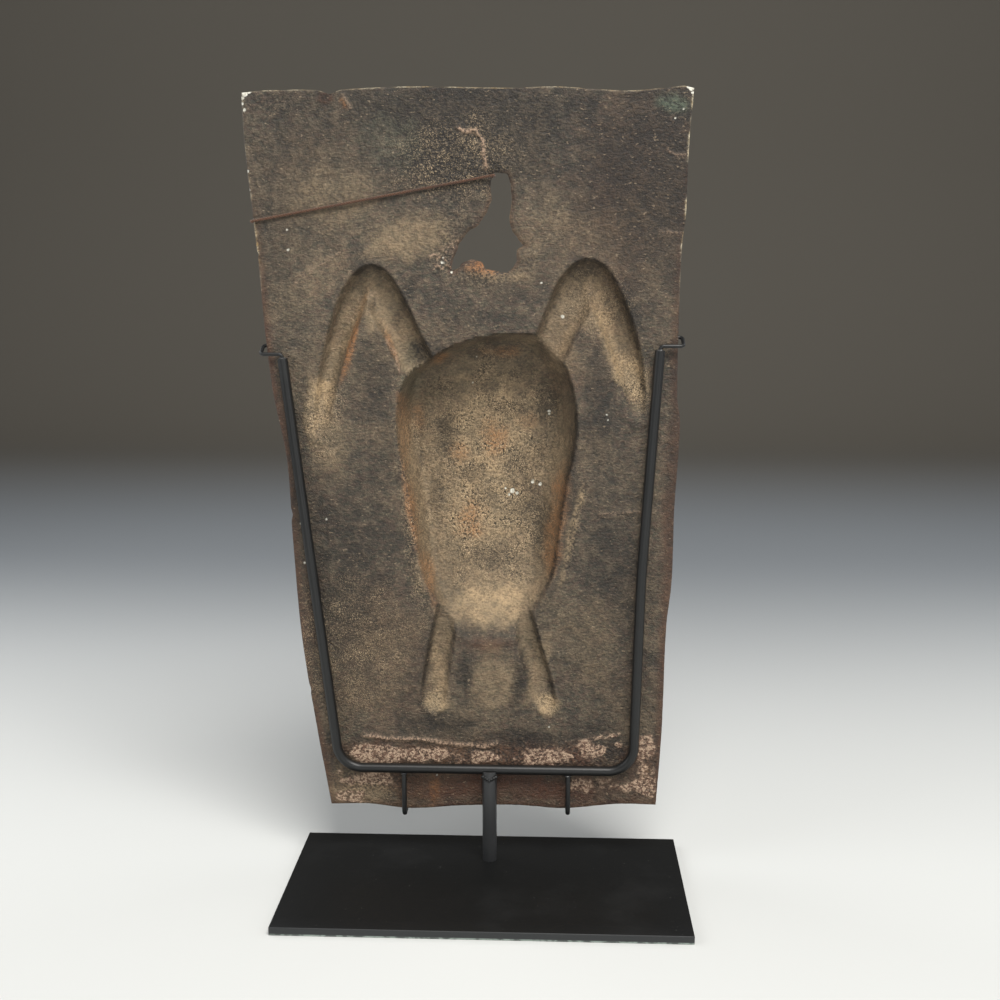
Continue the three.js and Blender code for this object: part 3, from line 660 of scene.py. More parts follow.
def outer_distance(x, z):
    """Distance inside the plaque's outer edge."""
    sides = np.minimum(x - left_edge(z), right_edge(z) - x)
    low = z - FOOT_Z + bottom_waver(share_across(x, z))
    return np.minimum(sides, np.minimum(top_edge(x, z) - z, low))


def rounding(distance, radius):
    """How far a rim that is rounded to a radius falls away at a distance from its edge."""
    near = np.clip(radius - distance, 0, radius)
    return radius - np.sqrt(radius**2 - near**2)


def hollow_side(x, z, edge, hole):
    """Where the side with the hollows lies, with a low lip round them and rounded rims."""
    depth, rim_away = hollows(x, z)
    lip = .35 * hump(rim_away, 2.6) * (rim_away < NO_RIM - 1)
    lip += .8 * hump(rim_away - 3, 2.6) * ease(z, 165, 200) * (1 - ease(z, 300, 330))
    lip += .3 * hump(rim_away, 5) * cloud(x, z, 3.5, 2, 17)
    y = depth - lip + surface_detail(x, z) + .9 * (1 - ease(hole, 0, 7))
    y += rounding(edge, 1.3) + rounding(hole, 1)
    return BACK_Y + y


def raised_side(x, z, edge, hole):
    """Where the side with the raised figure lies, plainer and a little thinner at the hole."""
    y = raised(x, z) - .35 * (1 + cloud(x, z, 60, 2, 31)) * .5
    y -= .12 * (1 + cloud(x, z, 6, 2, 32)) + 1.2 * (1 - ease(hole, 0, 8))
    return BACK_Y + y - rounding(edge, 1.2) - rounding(hole, .6)


def casting():
    """The plaque: a hollow side and a raised side, joined round the rim and the hole."""
    strokes = lambda x, z: (np.abs(x - 12) < 28) & (np.abs(z - 251) < 6)
    band = lambda x, z: patches(x, z, CRUST, .3, 6) > .02
    crusted = lambda x, z: (patches(x, z, CRUST, .3, 6) > .12) & (z > 66) & (z < 92)
    rough = lambda x, z: (np.hypot((x + 22) / 34, (z - 461) / 22) < 1) | (
        np.hypot((x + 27) / 9, (z - 399) / 11) < 1)
    rim = lambda x, z: np.abs(from_hole(x, z)[0]) < 4
    folds = lambda x, z: np.abs(hollows(x, z)[1]) < 2.6
    seamed = lambda x, z: seam_lines(x, z) > .06
    chipped = lambda x, z: sum(np.hypot(x - cx, z - cz) < 2 for cx, cz, _ in CHIPS) > 0
    back = sheet("plaque_casting", *BACK_GRID)
    for where in (rim, folds, strokes, strokes, band, crusted, rough, seamed, seamed, chipped,
                  chipped):
        refine(back, where)
    cut_hole(back)
    far = sheet("plaque_far_side", *FAR_GRID)
    refine(far, rim)
    cut_hole(far)
    for obj, side in ((back, hollow_side), (far, raised_side)):
        x, z, _ = points_of(obj).T
        edge = np.maximum(outer_distance(x, z), 0)
        hole = np.maximum(from_hole(x, z)[0], 0)
        place_points(obj, np.stack([x, side(x, z, edge, hole), z], 1) * MM)
        give(obj, "back", np.full(len(x), float(obj is back)))
    joined([back, far])
    bridge_rims(back, True)
    bridge_rims(back, False)
    edit_all(back)
    bpy.ops.mesh.normals_make_consistent(inside=False)
    done()
    return smoothed(back)


def bridge_rims(obj, at_hole):
    """Joins the two sides' open rims, at the hole or round the outside."""
    single, ends = rim_edges(obj)
    middle = points_of(obj)[ends].mean(1) / MM
    inner = np.abs(from_hole(middle[:, 0], middle[:, 2])[0]) < 6
    edit_chosen(obj, "edges", single & (inner == at_hole))
    bpy.ops.mesh.bridge_edge_loops()
    done()


def give(obj, name, values):
    """Stores one number per point, for the material to read."""
    layer = obj.data.attributes.new(name, "FLOAT", "POINT")
    layer.data.foreach_set("value", np.ascontiguousarray(values, np.float32))


def read(obj, name):
    values = numbers_of(obj.data.attributes[name].data, "value", 1, np.float32)
    return values[:, 0].astype(float)


def pale_seams_and_ring_highlights(x, z):
    """The seams, which show pale, and the upper halves of the ring marks as painted highlights."""
    seams = seam_lines(x, z)
    for cx, cz, radius in RINGS:
        away = np.hypot(x - cx, z - cz)
        # Painted highlight: only the upper half of each ring mark
        seams = np.maximum(seams, .9 * hump(away - 1.4 * radius, .45) * (z > cz))
    return seams


def pale_chips(x, z):
    chips = np.zeros_like(x)
    for cx, cz, radius in CHIPS:
        away = np.hypot(x - cx, z - cz) + .35 * cloud(x, z, 1.1, 2, 64)
        chips = np.maximum(chips, 1 - ease(away, radius - .2, radius + .25))
    return chips


def bare_metal(x, z):
    """Where the outer edges are rubbed down to bare metal."""
    broken = ease(cloud(x, z, 9, 3, 54), -.45, .3)
    worn = ease(cloud(z, 0 * z, 5, 3, 55), -.5, .1)
    top = .7 * (1 - ease(top_edge(x, z) - z, .1, .8)) * broken
    left = (1 - ease(x - left_edge(z), .6, 2.2)) * ease(z, 370, 420) * worn
    right = (1 - ease(right_edge(z) - x, .3, 1.3)) * ease(z, 365, 400) * worn
    low = .35 * (1 - ease(z - bottom_edge(x), .2, 1.3))
    return np.maximum(top, np.maximum(np.maximum(left, right), low) * broken)


def paint_patina(obj):
    """Stores where each tone of the patina lies, and where painted shade and painted highlights lie.
    """
    x, y, z = (points_of(obj) / MM).T
    back = read(obj, "back")
    far = 1 - back
    proud = y - FRONT_Y
    rubbed = far * (.6 * ease(proud, .4, 6) + .4 * ease(proud, 8, 28))
    depth, rim_away = hollows(x, z)
    upward = (hollows(x, z + 1)[0] - hollows(x, z - 1)[0]) / 2
    rightward = (hollows(x + 1, z)[0] - hollows(x - 1, z)[0]) / 2
    # Painted shade: a dark line just inside the rims where the wall faces down or to the left, away
    # from the light above and to the right
    shaded = ease(-.9 * upward - .7 * rightward, .05, .6)
    shaded *= 1 - patches(x, z, UNSHADED_FOLDS, .2, 10)
    painted_shade = back * hump(rim_away + 1, 2.3) * shaded * (z > 108)
    painted_shade *= .55 + .45 * ease(cloud(x, z, 7, 3, 57), -.4, .3)
    # Paler in the hollows, most where the floor faces up: settled dust, and painted light from above
    # on the up-facing slopes
    settled_dust_and_top_light = ease(depth, 1.2, 6) * (.3 + .7 * ease(upward, -.7, .35))
    tan = back * np.maximum(patches(x, z, TAN_AND_HIGHLIGHTS, .45, 2), .42 * settled_dust_and_top_light) + far * .3 + .5 * rubbed
    tan += .16 * cloud(x, z, 34, 4, 51) * back
    dark = back * patches(x, z, DARK_AND_SHADE, .4, 3) * (1 - .2 * settled_dust_and_top_light) + .2 * (far - rubbed)
    dark += .2 * cloud(x, z, 26, 4, 52)
    dark += back * (.5 * ease(z, 415, 500) + .35 * ease(x, 50, 125) * ease(z, 310, 430))
    rust = back * patches(x, z, RUST, .5, 4) + far * .12
    rust += .22 * np.clip(cloud(x, z, 20, 4, 53), 0, 1)
    rim_rust = (1 - ease(outer_distance(x, z), 1, 7)) * (1 - ease(z, 380, 470))
    rim_rust += .7 * (1 - ease(from_hole(x, z)[0], .5, 4))
    for name, values in {
            "tan": tan, "dark": dark, "painted_shade": painted_shade,
            "rust": np.maximum(rust, .8 * rim_rust * back), "seams": back * pale_seams_and_ring_highlights(x, z),
            "chips": back * pale_chips(x, z), "bare": bare_metal(x, z),
            "crust": back * crust_cover(x, z), "orange": back * patches(x, z, ORANGE_AND_HIGHLIGHTS, .5, 7),
            "grit": back * patches(x, z, GRIT, .4, 8), "green": back * patches(x, z, GREEN, .6, 9),
            "rough": back * patches(x, z, PITTED, .4, 5)}.items():
        give(obj, name, np.clip(values, 0, 1))


# Rods and wires
def bent_route(corners, radius, step):
    """A route with each corner rounded to a bend of the given radius."""
    route = [corners[0]]
    for before, corner, after in zip(corners, corners[1:], corners[2:]):
        back, ahead = (before - corner).normalized(), (after - corner).normalized()
        turn = math.pi - back.angle(ahead)
        centre = corner + (back + ahead).normalized() * (radius / math.cos(turn / 2))
        spoke = corner + back * radius * math.tan(turn / 2) - centre
        axis = ahead.cross(back).normalized()
        steps = max(2, math.ceil(turn / step))
        route += [centre + Matrix.Rotation(turn * k / steps, 3, axis) @ spoke
                  for k in range(steps + 1)]
    route.append(corners[-1])
    return [p for k, p in enumerate(route) if k == 0 or (p - route[k - 1]).length > GAP / 10]


def drawn_along(name, route, radius, sides, closed=False, end_round=.5):
    """A round bar drawn along a route, with its ends broken or rounded over."""
    curve = bpy.data.curves.new(name, "CURVE")
    curve.dimensions = "3D"
    curve.bevel_depth = radius * MM
    curve.bevel_resolution = sides // 4 - 1
    curve.use_fill_caps = not closed
    line = curve.splines.new("POLY")
    line.points.add(len(route) - 1)
    for point, place in zip(line.points, route):
        point.co = (*(place * MM), 1)
    line.use_cyclic_u = closed
    obj = bpy.data.objects.new(name, curve)
    bpy.context.scene.collection.objects.link(obj)
    alone(obj)
    bpy.ops.object.convert(target="MESH")
    obj = bpy.context.object
    edit_all(obj, "vertices")
    bpy.ops.mesh.remove_doubles(threshold=.01 * MM)
    bpy.ops.mesh.normals_make_consistent(inside=False)
    done()
    if not closed:
        edges_rounded(obj, "rounded ends", end_round * radius, 4)
    return smoothed(obj)


def vec(x, y, z):
    return Vector((float(x), float(y), float(z)))


def rod_left(z, inset):
    return vec(left_edge(z) + inset, ROD_Y, z)


def rod_right(z, inset):
    return vec(right_edge(z) - inset, ROD_Y, z)


LEFT_TOP = rod_left(LEFT_TOP_Z, LEFT_TOP_INSET)
RIGHT_TOP = rod_right(RIGHT_TOP_Z, RIGHT_TOP_INSET)


def cradle_rod():
    """The rod bent to a U, its right arm slightly bowed."""
    low_left, low_right = rod_left(ROD_LOW, LOW_LEFT_INSET), rod_right(ROD_LOW, LOW_RIGHT_INSET)
    bow = rod_right(BOW_Z, BOW_INSET)
    bend = bent_route([LEFT_TOP, low_left, low_right, bow], ROD_BEND, math.radians(5))
    rest = bent_route([bend[-2], bow, RIGHT_TOP], BOW_RADIUS, math.radians(1))
    return drawn_along("cradle_bar", bend[:-2] + rest, ROD_RADIUS, 32, end_round=.18)


def corner_clearance(bend, radius):
    return bend - (bend - radius - GAP) / math.sqrt(2)


def upper_hook(name, top, edge, outwards):
    """A wire on the rod's top, bent out past the plaque's edge and over its raised side."""
    radius, bend, rise, lap = 1.2, 2.4, 5, 9
    foot = top + vec(0, 0, GAP)
    level = foot.z + bend
    outmost = outwards * max(outwards * float(edge(level + rise * k / 2)) for k in range(3))
    out_x = outmost + outwards * (1.8 + radius)
    front = FRONT_Y + corner_clearance(bend, radius)
    route = bent_route([
        foot, vec(foot.x, foot.y, level), vec(out_x, foot.y, level),
        vec(out_x, front, level + rise), vec(out_x - outwards * lap, front, level + rise)],
        bend, math.radians(9))
    return drawn_along(name, route, radius, 16, end_round=.6)


def lower_peg(name, x):
    """A short rod under the U, bent forward under the plaque and up before it."""
    radius, bend, lip = 1.6, 2.6, 7
    clear = corner_clearance(bend, radius)
    floor = min(float(bottom_edge(x + d)) for d in (-radius, 0, radius)) - clear
    front = FRONT_Y + clear
    route = bent_route([
        vec(x, ROD_Y, ROD_LOW - ROD_RADIUS - GAP), vec(x, ROD_Y, floor), vec(x, front, floor),
        vec(x, front, floor + radius + lip)], bend, math.radians(9))
    return drawn_along(name, route, radius, 20, end_round=.7)


def twisted_cord():
    """Two thin strands twisted round each other, tied through the hole and round the edge."""
    edge_z, hole_z = FOOT_Z + .831 * HEIGHT, FOOT_Z + .889 * HEIGHT
    at_edge = vec(left_edge(edge_z), 0, edge_z)
    at_hole = vec(HOLE[0][0] * HEIGHT, 0, hole_z)
    run = (at_hole - at_edge).normalized()
    swing = GAP + CORD_RADIUS
    loop = []
    for lip, outwards, corners in ((at_edge, -1, (BACK_Y, FRONT_Y)), (at_hole, 1, (FRONT_Y, BACK_Y))):
        for quarter, corner in enumerate(corners):
            for k in range(7):
                angle = math.pi / 2 * (quarter - 1 + k / 6)
                loop.append(lip + run * (outwards * swing * math.cos(angle))
                            + vec(0, corner - outwards * swing * math.sin(angle), 0))
    loop.append(loop[0])
    lengths = np.concatenate([[0], np.cumsum([(b - a).length for a, b in zip(loop, loop[1:])])])
    total = lengths[-1]
    turns = round(total / 3.2)
    count = turns * 12
    at = np.linspace(0, total, count, endpoint=False)
    path = np.stack([np.interp(at, lengths, [p[k] for p in loop]) for k in range(3)], 1)
    ahead = np.roll(path, -1, 0) - np.roll(path, 1, 0)
    ahead /= np.linalg.norm(ahead, axis=1)[:, None]
    up = np.cross(ahead, np.cross([0, 0, 1.0], ahead))
    up /= np.linalg.norm(up, axis=1)[:, None]
    side = np.cross(ahead, up)
    strand = .52 * CORD_RADIUS
    strands = []
    for k in range(2):
        angle = (2 * math.pi * turns * at / total + math.pi * k)[:, None]
        route = path + (CORD_RADIUS - strand) * (np.cos(angle) * up + np.sin(angle) * side)
        strands.append(drawn_along("cord_strand", [vec(*p) for p in route], strand, 12, True))
    cord = joined(strands)
    cord.name = cord.data.name = "twisted_cord"
    return cord


def foot_plate():
    """The stand's foot: a flat plate with its corners and edges just broken."""
    obj = started("foot_plate", bpy.ops.mesh.primitive_cube_add, size=1)
    size = np.array([BASE_LENGTH, BASE_WIDTH, BASE_THICKNESS])
    place_points(obj, (points_of(obj) * size + [0, 0, BASE_THICKNESS / 2]) * MM)
    edit_all(obj)
    bpy.ops.mesh.subdivide(number_cuts=8)
    done()
    edges_rounded(obj, "broken edges", .5, 3)
    return smoothed(obj, 40)


def post():
    """The upright post, its top coped to sit under the rod."""
    route = [vec(POST_X, POST_Y, BASE_THICKNESS), vec(POST_X, POST_Y, ROD_LOW - .2)]
    obj = drawn_along("upright_post", route, POST_RADIUS, 48, end_round=.02)
    flat = points_of(obj) / MM
    across = np.clip(np.abs(flat[:, 1] - ROD_Y) / (ROD_RADIUS + GAP), 0, 1)
    saddle = ROD_LOW - (ROD_RADIUS + GAP) * np.sqrt(1 - across**2)
    flat[:, 2] = np.where(flat[:, 2] > ROD_LOW - 8, np.minimum(flat[:, 2], saddle), flat[:, 2])
    place_points(obj, flat * MM)
    return obj


def lump(name, centre, size, seed):
    """A small bead of weld or solder, a little uneven."""
    obj = started(name, bpy.ops.mesh.primitive_ico_sphere_add, subdivisions=4, radius=1)
    flat = points_of(obj)
    swell = 1 + .12 * cloud(flat[:, 0] + flat[:, 1], flat[:, 2] - flat[:, 1], .6, 2, seed)
    place_points(obj, (flat * swell[:, None] * size + np.array(centre)) * MM)
    bpy.ops.object.shade_smooth()
    return obj


def weld_beads():
    """The weld under the rod where the post meets it, as a row of small lumps in a V."""
    return joined([lump("weld_bead", (POST_X + 1.4 * k, POST_Y - 4.3 + .25 * abs(k),
                                      ROD_LOW - 5.4 + .75 * abs(k)), (1.3, 1.2, 1.15), 60 + k)
                   for k in range(-3, 4)])


def solder_beads():
    """The beads where the hooks stand on the rod's tops and the pegs hang under it."""
    top, under = (2.3, 2.3, 1.1), (2.3, 2.1, .9)
    under_rod = ROD_LOW - ROD_RADIUS - .3
    return joined([
        lump("solder_bead", LEFT_TOP + vec(0, 0, -.1), top, 71),
        lump("solder_bead", RIGHT_TOP + vec(0, 0, -.1), top, 72),
        lump("solder_bead", vec(LEFT_PEG_X, ROD_Y, under_rod), under, 73),
        lump("solder_bead", vec(RIGHT_PEG_X, ROD_Y, under_rod), under, 74)])


# Materials
class Bench:
    """Short words for building a material's or a group's nodes."""

    def __init__(self, tree):
        self.tree = tree

    def node(self, kind, **settings):
        made = self.tree.nodes.new(kind)
        for key, value in settings.items():
            setattr(made, key, value)
        return made

    def feed(self, socket, value):
        if isinstance(value, bpy.types.NodeSocket):
            self.tree.links.new(value, socket)
        else:
            socket.default_value = value

    def math(self, operation, *values):
        made = self.node("ShaderNodeMath", operation=operation)
        for socket, value in zip(made.inputs, values):
            self.feed(socket, value)
        return made.outputs[0]

    def times(self, first, second):
        return self.math("MULTIPLY", first, second)

    def ramp(self, value, low, high, to_low=0.0, to_high=1.0):
        made = self.node("ShaderNodeMapRange", interpolation_type="SMOOTHSTEP")
        for name, given in (("Value", value), ("From Min", low), ("From Max", high),
                            ("To Min", to_low), ("To Max", to_high)):
            self.feed(made.inputs[name], given)
        return made.outputs[0]

    def mix(self, amount, first, second):
        made = self.node("ShaderNodeMix", data_type="RGBA")
        self.feed(made.inputs[0], amount)
        self.feed(made.inputs[6], first)
        self.feed(made.inputs[7], second)
        return made.outputs[2]

    def noise(self, where, scale, detail=2.0, roughness=.5):
        made = self.node("ShaderNodeTexNoise")
        for name, given in (("Vector", where), ("Scale", scale), ("Detail", detail),
                            ("Roughness", roughness)):
            self.feed(made.inputs[name], given)
        return made.outputs["Fac"]

    def mapped(self, where, scale, place=(0, 0, 0)):
        made = self.node("ShaderNodeMapping")
        self.feed(made.inputs["Vector"], where)
        made.inputs["Scale"].default_value = scale
        made.inputs["Location"].default_value = place
        return made.outputs[0]

    def stored(self, name):
        return self.node("ShaderNodeAttribute", attribute_name=name).outputs["Fac"]

    def bump(self, height, strength, distance, under=None):
        made = self.node("ShaderNodeBump")
        self.feed(made.inputs["Height"], height)
        self.feed(made.inputs["Strength"], strength)
        self.feed(made.inputs["Distance"], distance)
        if under is not None:
            self.feed(made.inputs["Normal"], under)
        return made.outputs[0]

    def use(self, group, **values):
        made = self.node("ShaderNodeGroup", node_tree=group)
        for name, value in values.items():
            self.feed(made.inputs[name], value)
        return made.outputs


def tone(red, green, blue):
    """A colour given as it looks on screen, 0 to 255."""
    def linear(value):
        value /= 255
        return value / 12.92 if value <= .04045 else ((value + .055) / 1.055)**2.4
    return (linear(red), linear(green), linear(blue), 1)


def new_group(name, inputs, outputs):
    tree = bpy.data.node_groups.new(name, "ShaderNodeTree")
    for label, kind, value in inputs:
        socket = tree.interface.new_socket(label, in_out="INPUT", socket_type=kind)
        socket.default_value = value
    for label, kind in outputs:
        tree.interface.new_socket(label, in_out="OUTPUT", socket_type=kind)
    bench = Bench(tree)
    start, end = bench.node("NodeGroupInput"), bench.node("NodeGroupOutput")
    return tree, bench, start.outputs, end.inputs


def wear_group():
    """Fine scuffs and dust on paint: place and scale in, scuff and dust masks out."""
    tree, b, given, out = new_group("paint wear", [
        ("Place", "NodeSocketVector", (0, 0, 0)), ("Scale", "NodeSocketFloat", 1.0)],
        [("Scuff", "NodeSocketFloat"), ("Dust", "NodeSocketFloat"), ("Peel", "NodeSocketFloat")])
    broad = b.noise(given["Place"], b.times(given["Scale"], 22.0), 4.0, .6)
    fine = b.noise(given["Place"], b.times(given["Scale"], 900.0), 2.0, .6)
    b.feed(out["Scuff"], b.ramp(broad, .5, .75))
    b.feed(out["Dust"], b.ramp(fine, .74, .8))
    b.feed(out["Peel"], b.noise(given["Place"], b.times(given["Scale"], 620.0), 2.0))
    return tree


def new_material(name):
    material = bpy.data.materials.new(name)
    material.use_nodes = True
    tree = material.node_tree
    tree.nodes.clear()
    b = Bench(tree)
    shader = b.node("ShaderNodeBsdfPrincipled")
    end = b.node("ShaderNodeOutputMaterial")
    tree.links.new(shader.outputs[0], end.inputs[0])
    place = b.node("ShaderNodeTexCoord").outputs["Object"]
    return material, b, shader.inputs, place


def patina_material():
    """The casting's patina, with painted shade and highlights: mottled brown metal, then one coat
    over another by stored masks.
    """
    material, b, shader, place = new_material("cast metal patina")
    fine = b.ramp(b.noise(place, 1500.0, 2.0, .6), .3, .7)
    grains = b.ramp(b.noise(place, 640.0, 3.0, .6), .3, .7)
    blots = b.ramp(b.noise(place, 190.0, 4.0, .6), .32, .68)
    warm = b.ramp(b.noise(place, 95.0, 4.0, .55), .4, .7)
    cool = b.ramp(b.noise(b.mapped(place, (1, 1, 1.3), (3, 0, 1)), 60.0, 4.0, .55), .4, .66)
    broad = b.ramp(b.noise(place, 20.0, 3.0, .5), .35, .65)
    streaks = b.ramp(b.noise(b.mapped(place, (420, 420, 820)), 1.0, 3.0, .6), .3, .7)
    hue = b.ramp(b.noise(b.mapped(place, (240, 240, 480), (5, 0, 2)), 1.0, 3.0, .6), .35, .65)
    dashes = b.noise(b.mapped(place, (360, 360, 760)), 1.0, 2.0, .5)
    mixed = b.math("MULTIPLY_ADD", streaks, .4, b.times(blots, .28))
    mixed = b.math("MULTIPLY_ADD", grains, .2, mixed)
    mixed = b.math("MULTIPLY_ADD", fine, .12, mixed)

    def wash(mask, low, high):
        """A soft coat that the grain lets through in places."""
        return b.times(b.stored(mask), b.ramp(mixed, .25, .75, low, high))

    grit = b.times(b.stored("grit"), b.ramp(warm, 0.0, .8, .45, 1.0))
    crust = b.mix(b.ramp(grains, .3, .7), tone(128, 100, 83), tone(204, 176, 150))
    bare = b.times(b.stored("bare"), b.ramp(grains, .2, .6, .3, 1.0))
    colour = b.mix(hue, tone(74, 72, 61), tone(90, 75, 65))
    for cover, coat in [
            (b.times(broad, .4), tone(96, 84, 67)),
            (b.times(cool, .5), tone(57, 56, 51)),
            (b.times(warm, .3), tone(112, 96, 78)),
            (b.ramp(mixed, .5, .85, 0.0, .45), tone(136, 122, 102)),
            (b.ramp(mixed, .5, .15, 0.0, .6), tone(38, 36, 35)),
            (wash("rust", .45, .8), tone(82, 48, 34)),
            # Tan, with painted highlights among its patches and painted light on up-facing hollow
            # floors
            (wash("tan", .5, 1.0), tone(186, 160, 124)),
            (b.times(b.stored("tan"), b.times(cool, .4)), tone(96, 92, 78)),
            # Dark patina, with painted shade lines among its patches
            (wash("dark", .9, .65), tone(38, 35, 32)),
            # Orange, with painted highlights along the body's left rim and a forearm wall
            (wash("orange", .2, .75), tone(166, 112, 66)),
            (b.ramp(dashes, .64, .74, 0.0, .45), tone(168, 148, 122)),
            (b.times(b.times(grit, b.ramp(grains, .5, .15)), .95), tone(42, 37, 31)),
            (b.times(b.times(grit, b.ramp(fine, .6, .95)), .8), tone(222, 196, 158)),
            (b.times(b.times(b.stored("rough"), b.ramp(grains, .6, .25)), .8), tone(34, 32, 31)),
            (b.times(b.times(b.stored("rough"), b.ramp(streaks, .75, 1.0)), .25),
             tone(158, 142, 122)),
            # Painted shade along the rims of walls that face away from the light
            (b.times(b.stored("painted_shade"), b.ramp(mixed, .3, .7, .85, .5)), tone(31, 27, 23)),
            (b.times(b.stored("crust"), b.ramp(mixed, .2, .6, .2, .9)),
             b.mix(b.ramp(fine, .3, .05, 0.0, .6), crust, tone(74, 52, 44))),
            (wash("green", .1, .6), tone(96, 118, 100)),
            # Pale seams, and painted highlights on the ring marks' upper halves
            (b.times(b.stored("seams"), b.ramp(grains, .25, .7, .15, .9)), tone(178, 150, 126)),
            (bare, b.mix(blots, tone(190, 160, 110), tone(228, 218, 190))),
            (b.stored("chips"), b.mix(grains, tone(186, 182, 166), tone(236, 234, 222)))]:
        colour = b.mix(cover, colour, coat)
    b.feed(shader["Base Color"], colour)
    b.feed(shader["Metallic"], b.math("MULTIPLY_ADD", bare, .2, .1))
    rough = b.math("MULTIPLY_ADD", mixed, .2, .46)
    b.feed(shader["Roughness"], b.math("MULTIPLY_ADD", bare, -.1, rough))
    shader["Specular IOR Level"].default_value = .4
    coarse = b.bump(blots, .45, .0009)
    gritty = b.times(grains, b.math("MULTIPLY_ADD", grit, .7, .5))
    medium = b.bump(streaks, .4, .0006, b.bump(gritty, .7, .0007, coarse))
    b.feed(shader["Normal"], b.bump(fine, .4, .0004, medium))
    return material


def paint_material(wear, name="satin black paint", dark=tone(18, 19, 19), light=tone(25, 26, 26)):
    material, b, shader, place = new_material(name)
    worn = b.use(wear, Place=place, Scale=1.0)
    colour = b.mix(worn["Scuff"], dark, light)
    colour = b.mix(b.times(worn["Dust"], .35), colour, tone(120, 120, 118))
    b.feed(shader["Base Color"], colour)
    shader["Specular IOR Level"].default_value = .5
    b.feed(shader["Roughness"], b.math("MULTIPLY_ADD", worn["Scuff"], .1, .42))
    b.feed(shader["Normal"], b.bump(worn["Peel"], .12, .0003))
    return material


def foot_material(wear):
    """The foot's paint, paler on its front face as painted light, and worn along that face's lower
    edge.
    """
    material, b, shader, place = new_material("satin black foot")
    worn = b.use(wear, Place=place, Scale=.7)
    parted = b.node("ShaderNodeSeparateXYZ")
    b.feed(parted.inputs[0], place)
    face = -BASE_WIDTH / 2 * MM
    front = b.ramp(parted.outputs[1], face + .0006, face + .0002)
    low = b.times(front, b.ramp(parted.outputs[2], .0015, .0007))
    worn_low = b.times(low, b.ramp(b.noise(place, 160.0, 3.0, .6), .42, .58, .25, 1.0))
    colour = b.mix(worn["Scuff"], tone(11, 12, 12), tone(15, 16, 16))
    colour = b.mix(b.times(worn["Dust"], .5), colour, tone(150, 150, 146))
    # Painted light: the front face is paler than the top
    colour = b.mix(b.times(front, .8), colour, tone(52, 54, 55))
    colour = b.mix(worn_low, colour, tone(150, 162, 154))
    b.feed(shader["Base Color"], colour)
    shader["Specular IOR Level"].default_value = .4
    b.feed(shader["Roughness"], b.math("MULTIPLY_ADD", worn["Scuff"], .12, .5))
    b.feed(shader["Normal"], b.bump(worn["Peel"], .15, .0004))
    return material


def solder_material():
    material, b, shader, place = new_material("painted solder")
    shine = b.ramp(b.noise(place, 700.0, 2.0), .45, .7)
    b.feed(shader["Base Color"], b.mix(shine, tone(40, 41, 43), tone(120, 120, 118)))
    b.feed(shader["Metallic"], b.times(shine, .6))
    b.feed(shader["Roughness"], b.math("MULTIPLY_ADD", shine, -.12, .4))
    return material


def cord_material():
    material, b, shader, place = new_material("twisted brown cord")
    fibres = b.noise(place, 2600.0, 3.0, .6)
    length = b.noise(place, 90.0, 3.0, .6)
    colour = b.mix(b.ramp(fibres, .35, .65), tone(58, 38, 27), tone(116, 80, 56))
    colour = b.mix(b.times(b.ramp(length, .45, .7), .5), colour, tone(62, 48, 40))
    b.feed(shader["Base Color"], colour)
    b.feed(shader["Roughness"], b.math("MULTIPLY_ADD", fibres, .1, .82))
    shader["Sheen Weight"].default_value = .25
    b.feed(shader["Normal"], b.bump(fibres, .6, .0003))
    return material


def finish_with(obj, material, slot, *nodes):
    """Gives a finished piece its material, puts it under the root body and hides the CAD nodes that
    it stands for; slot is not used.
    """
    obj.data.materials.clear()
    obj.data.materials.append(material)
    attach(obj, "root")
    if nodes:
        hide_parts(*nodes)


wear = wear_group()
paint = paint_material(wear)

plaque = casting()
paint_patina(plaque)
finish_with(plaque, patina_material(), "cast_metal", "plaque")
finish_with(twisted_cord(), cord_material(), "cord", "cord_loop")
finish_with(foot_plate(), foot_material(wear), "stand", "base_plate")
# The post is the rods' satin black painted paler, as painted light
post_paint_painted_paler = paint_material(wear, "satin black post", tone(48, 49, 50), tone(58, 59, 60))
finish_with(post(), post_paint_painted_paler, "stand", "post")
for piece, *nodes in [
        (cradle_rod(), "cradle_rod"),
        (upper_hook("hook_wire_left", LEFT_TOP, left_edge, -1), "upper_hook_left"),
        (upper_hook("hook_wire_right", RIGHT_TOP, right_edge, 1), "upper_hook_right"),
        (lower_peg("peg_left", LEFT_PEG_X), "lower_peg_left"),
        (lower_peg("peg_right", RIGHT_PEG_X), "lower_peg_right"),
        (weld_beads(),)]:
    finish_with(piece, paint, "stand", *nodes)
finish_with(solder_beads(), solder_material(), "stand")


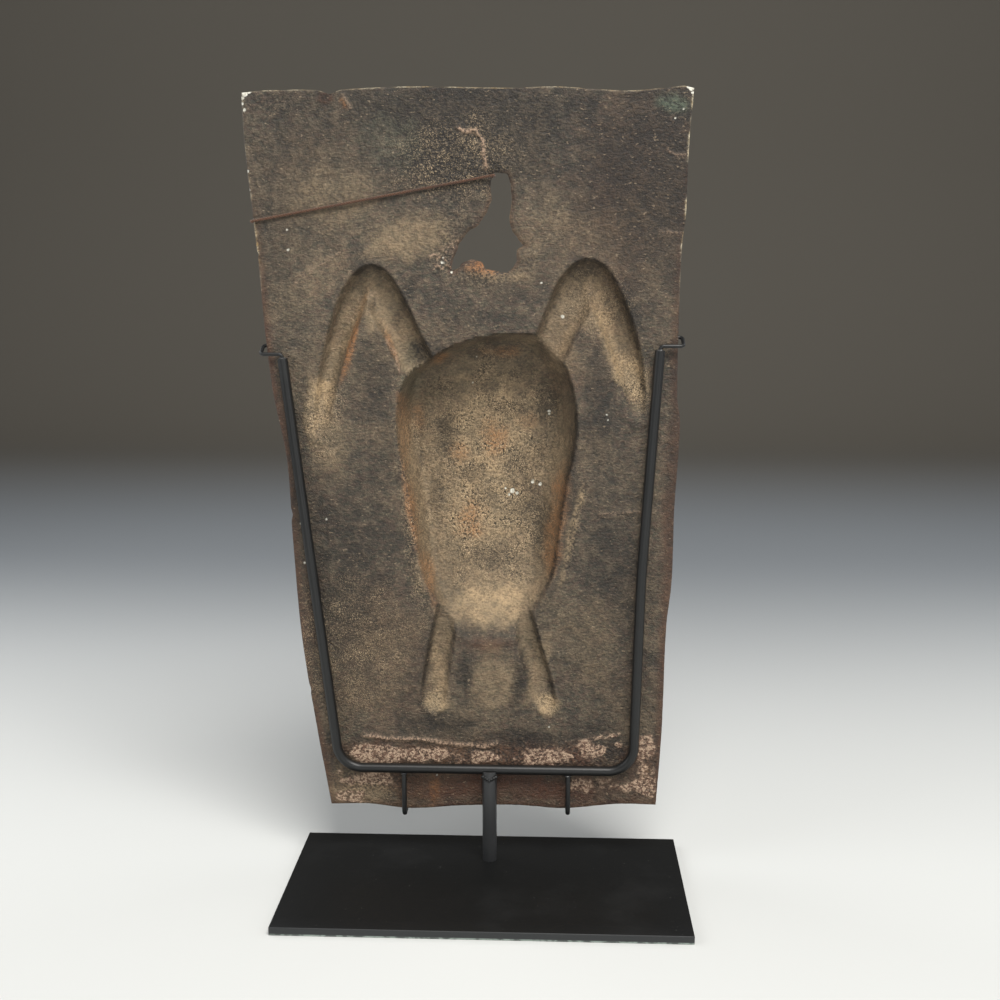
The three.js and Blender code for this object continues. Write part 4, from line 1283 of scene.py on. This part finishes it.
# Studio
def studio_floor():
    """A pale floor that sweeps up behind the object, its colour painted darker farther back as
    painted shade.
    """
    floor = started("studio_floor", bpy.ops.mesh.primitive_grid_add, x_subdivisions=2,
                    y_subdivisions=60, size=2)
    across, back_and_up, _ = points_of(floor).T
    length, start, turn, rise_from = 6.8, -2.6, .8, 2.0
    run = (back_and_up + 1) * length / 2 + start
    bend = np.clip((run - rise_from) / turn, 0, math.pi / 2)
    up = np.maximum(run - rise_from - turn * math.pi / 2, 0)
    y = np.minimum(run, rise_from) + turn * np.sin(bend)
    place_points(floor, np.stack([across * 4, y, turn * (1 - np.cos(bend)) + up], 1))
    bpy.ops.object.shade_smooth()
    material, b, shader, place = new_material("pale floor")
    parted = b.node("ShaderNodeSeparateXYZ")
    b.feed(parted.inputs[0], place)
    # Painted shade: the colour fades from pale in front to grey and then dark brown-grey up the sweep
    away = b.math("ADD", parted.outputs[1], parted.outputs[2])
    middle = b.mix(b.ramp(away, -.05, 1.0), (.67, .684, .67, 1), (.27, .293, .316, 1))
    b.feed(shader["Base Color"], b.mix(b.ramp(away, 1.1, 2.2), middle, (.2, .183, .153, 1)))
    shader["Roughness"].default_value = .9
    floor.data.materials.append(material)


WHITE = (1, 1, 1)


def soft_light(name, place, target, size, power, colour):
    light = bpy.data.lights.new(name, "AREA")
    light.shape = "RECTANGLE"
    light.size, light.size_y = size
    light.energy = power
    light.color = colour
    obj = bpy.data.objects.new(name, light)
    obj.location = place
    obj.rotation_euler = (Vector(target) - Vector(place)).to_track_quat("-Z", "Y").to_euler()
    bpy.context.scene.collection.objects.link(obj)


# The camera, solved from the corners of the foot in the photograph
CAMERA_PLACE = (.03886568, -.72147318, .38513257)
CAMERA_DIP, CAMERA_TURN = 10.2433, 2.3481
SENSOR_WIDTH, FOCAL_LENGTH = 36, 43.407


def camera():
    made = bpy.data.cameras.new("camera")
    made.sensor_width, made.lens = SENSOR_WIDTH, FOCAL_LENGTH
    made.clip_start = .05
    obj = bpy.data.objects.new("camera", made)
    obj.location = CAMERA_PLACE
    obj.rotation_euler = (math.radians(90 - CAMERA_DIP), 0, math.radians(CAMERA_TURN))
    bpy.context.scene.collection.objects.link(obj)
    bpy.context.scene.camera = obj


studio_floor()
camera()
for name, place, target, size, power, colour in [
        ("key above right", (.42, -.95, 2.0), (0, .03, .26), (1.2, .8), 51, (1, .97, .93)),
        ("fill right", (1.3, -.9, .7), (0, 0, .25), (.8, 1.2), 4, WHITE),
        ("fill left", (-1.4, -.5, .9), (-.2, .2, .1), (.8, 1.2), 6, WHITE),
        ("behind left", (-.9, .35, .7), (-.1, .2, 0), (.6, .6), 3.2, WHITE),
        ("behind right", (.95, .4, .7), (.05, .2, 0), (.6, .6), 2.4, WHITE),
        ("front", (.1, -1.9, .35), (0, 0, .2), (1, .6), 4, WHITE)]:
    soft_light(name, place, target, size, power, colour)
world = bpy.data.worlds.new("studio air")
bpy.context.scene.world = world
world.use_nodes = True
world.node_tree.nodes["Background"].inputs[0].default_value = (.42, .44, .47, 1)
world.node_tree.nodes["Background"].inputs[1].default_value = .3
bpy.context.scene.view_settings.view_transform = "Standard"
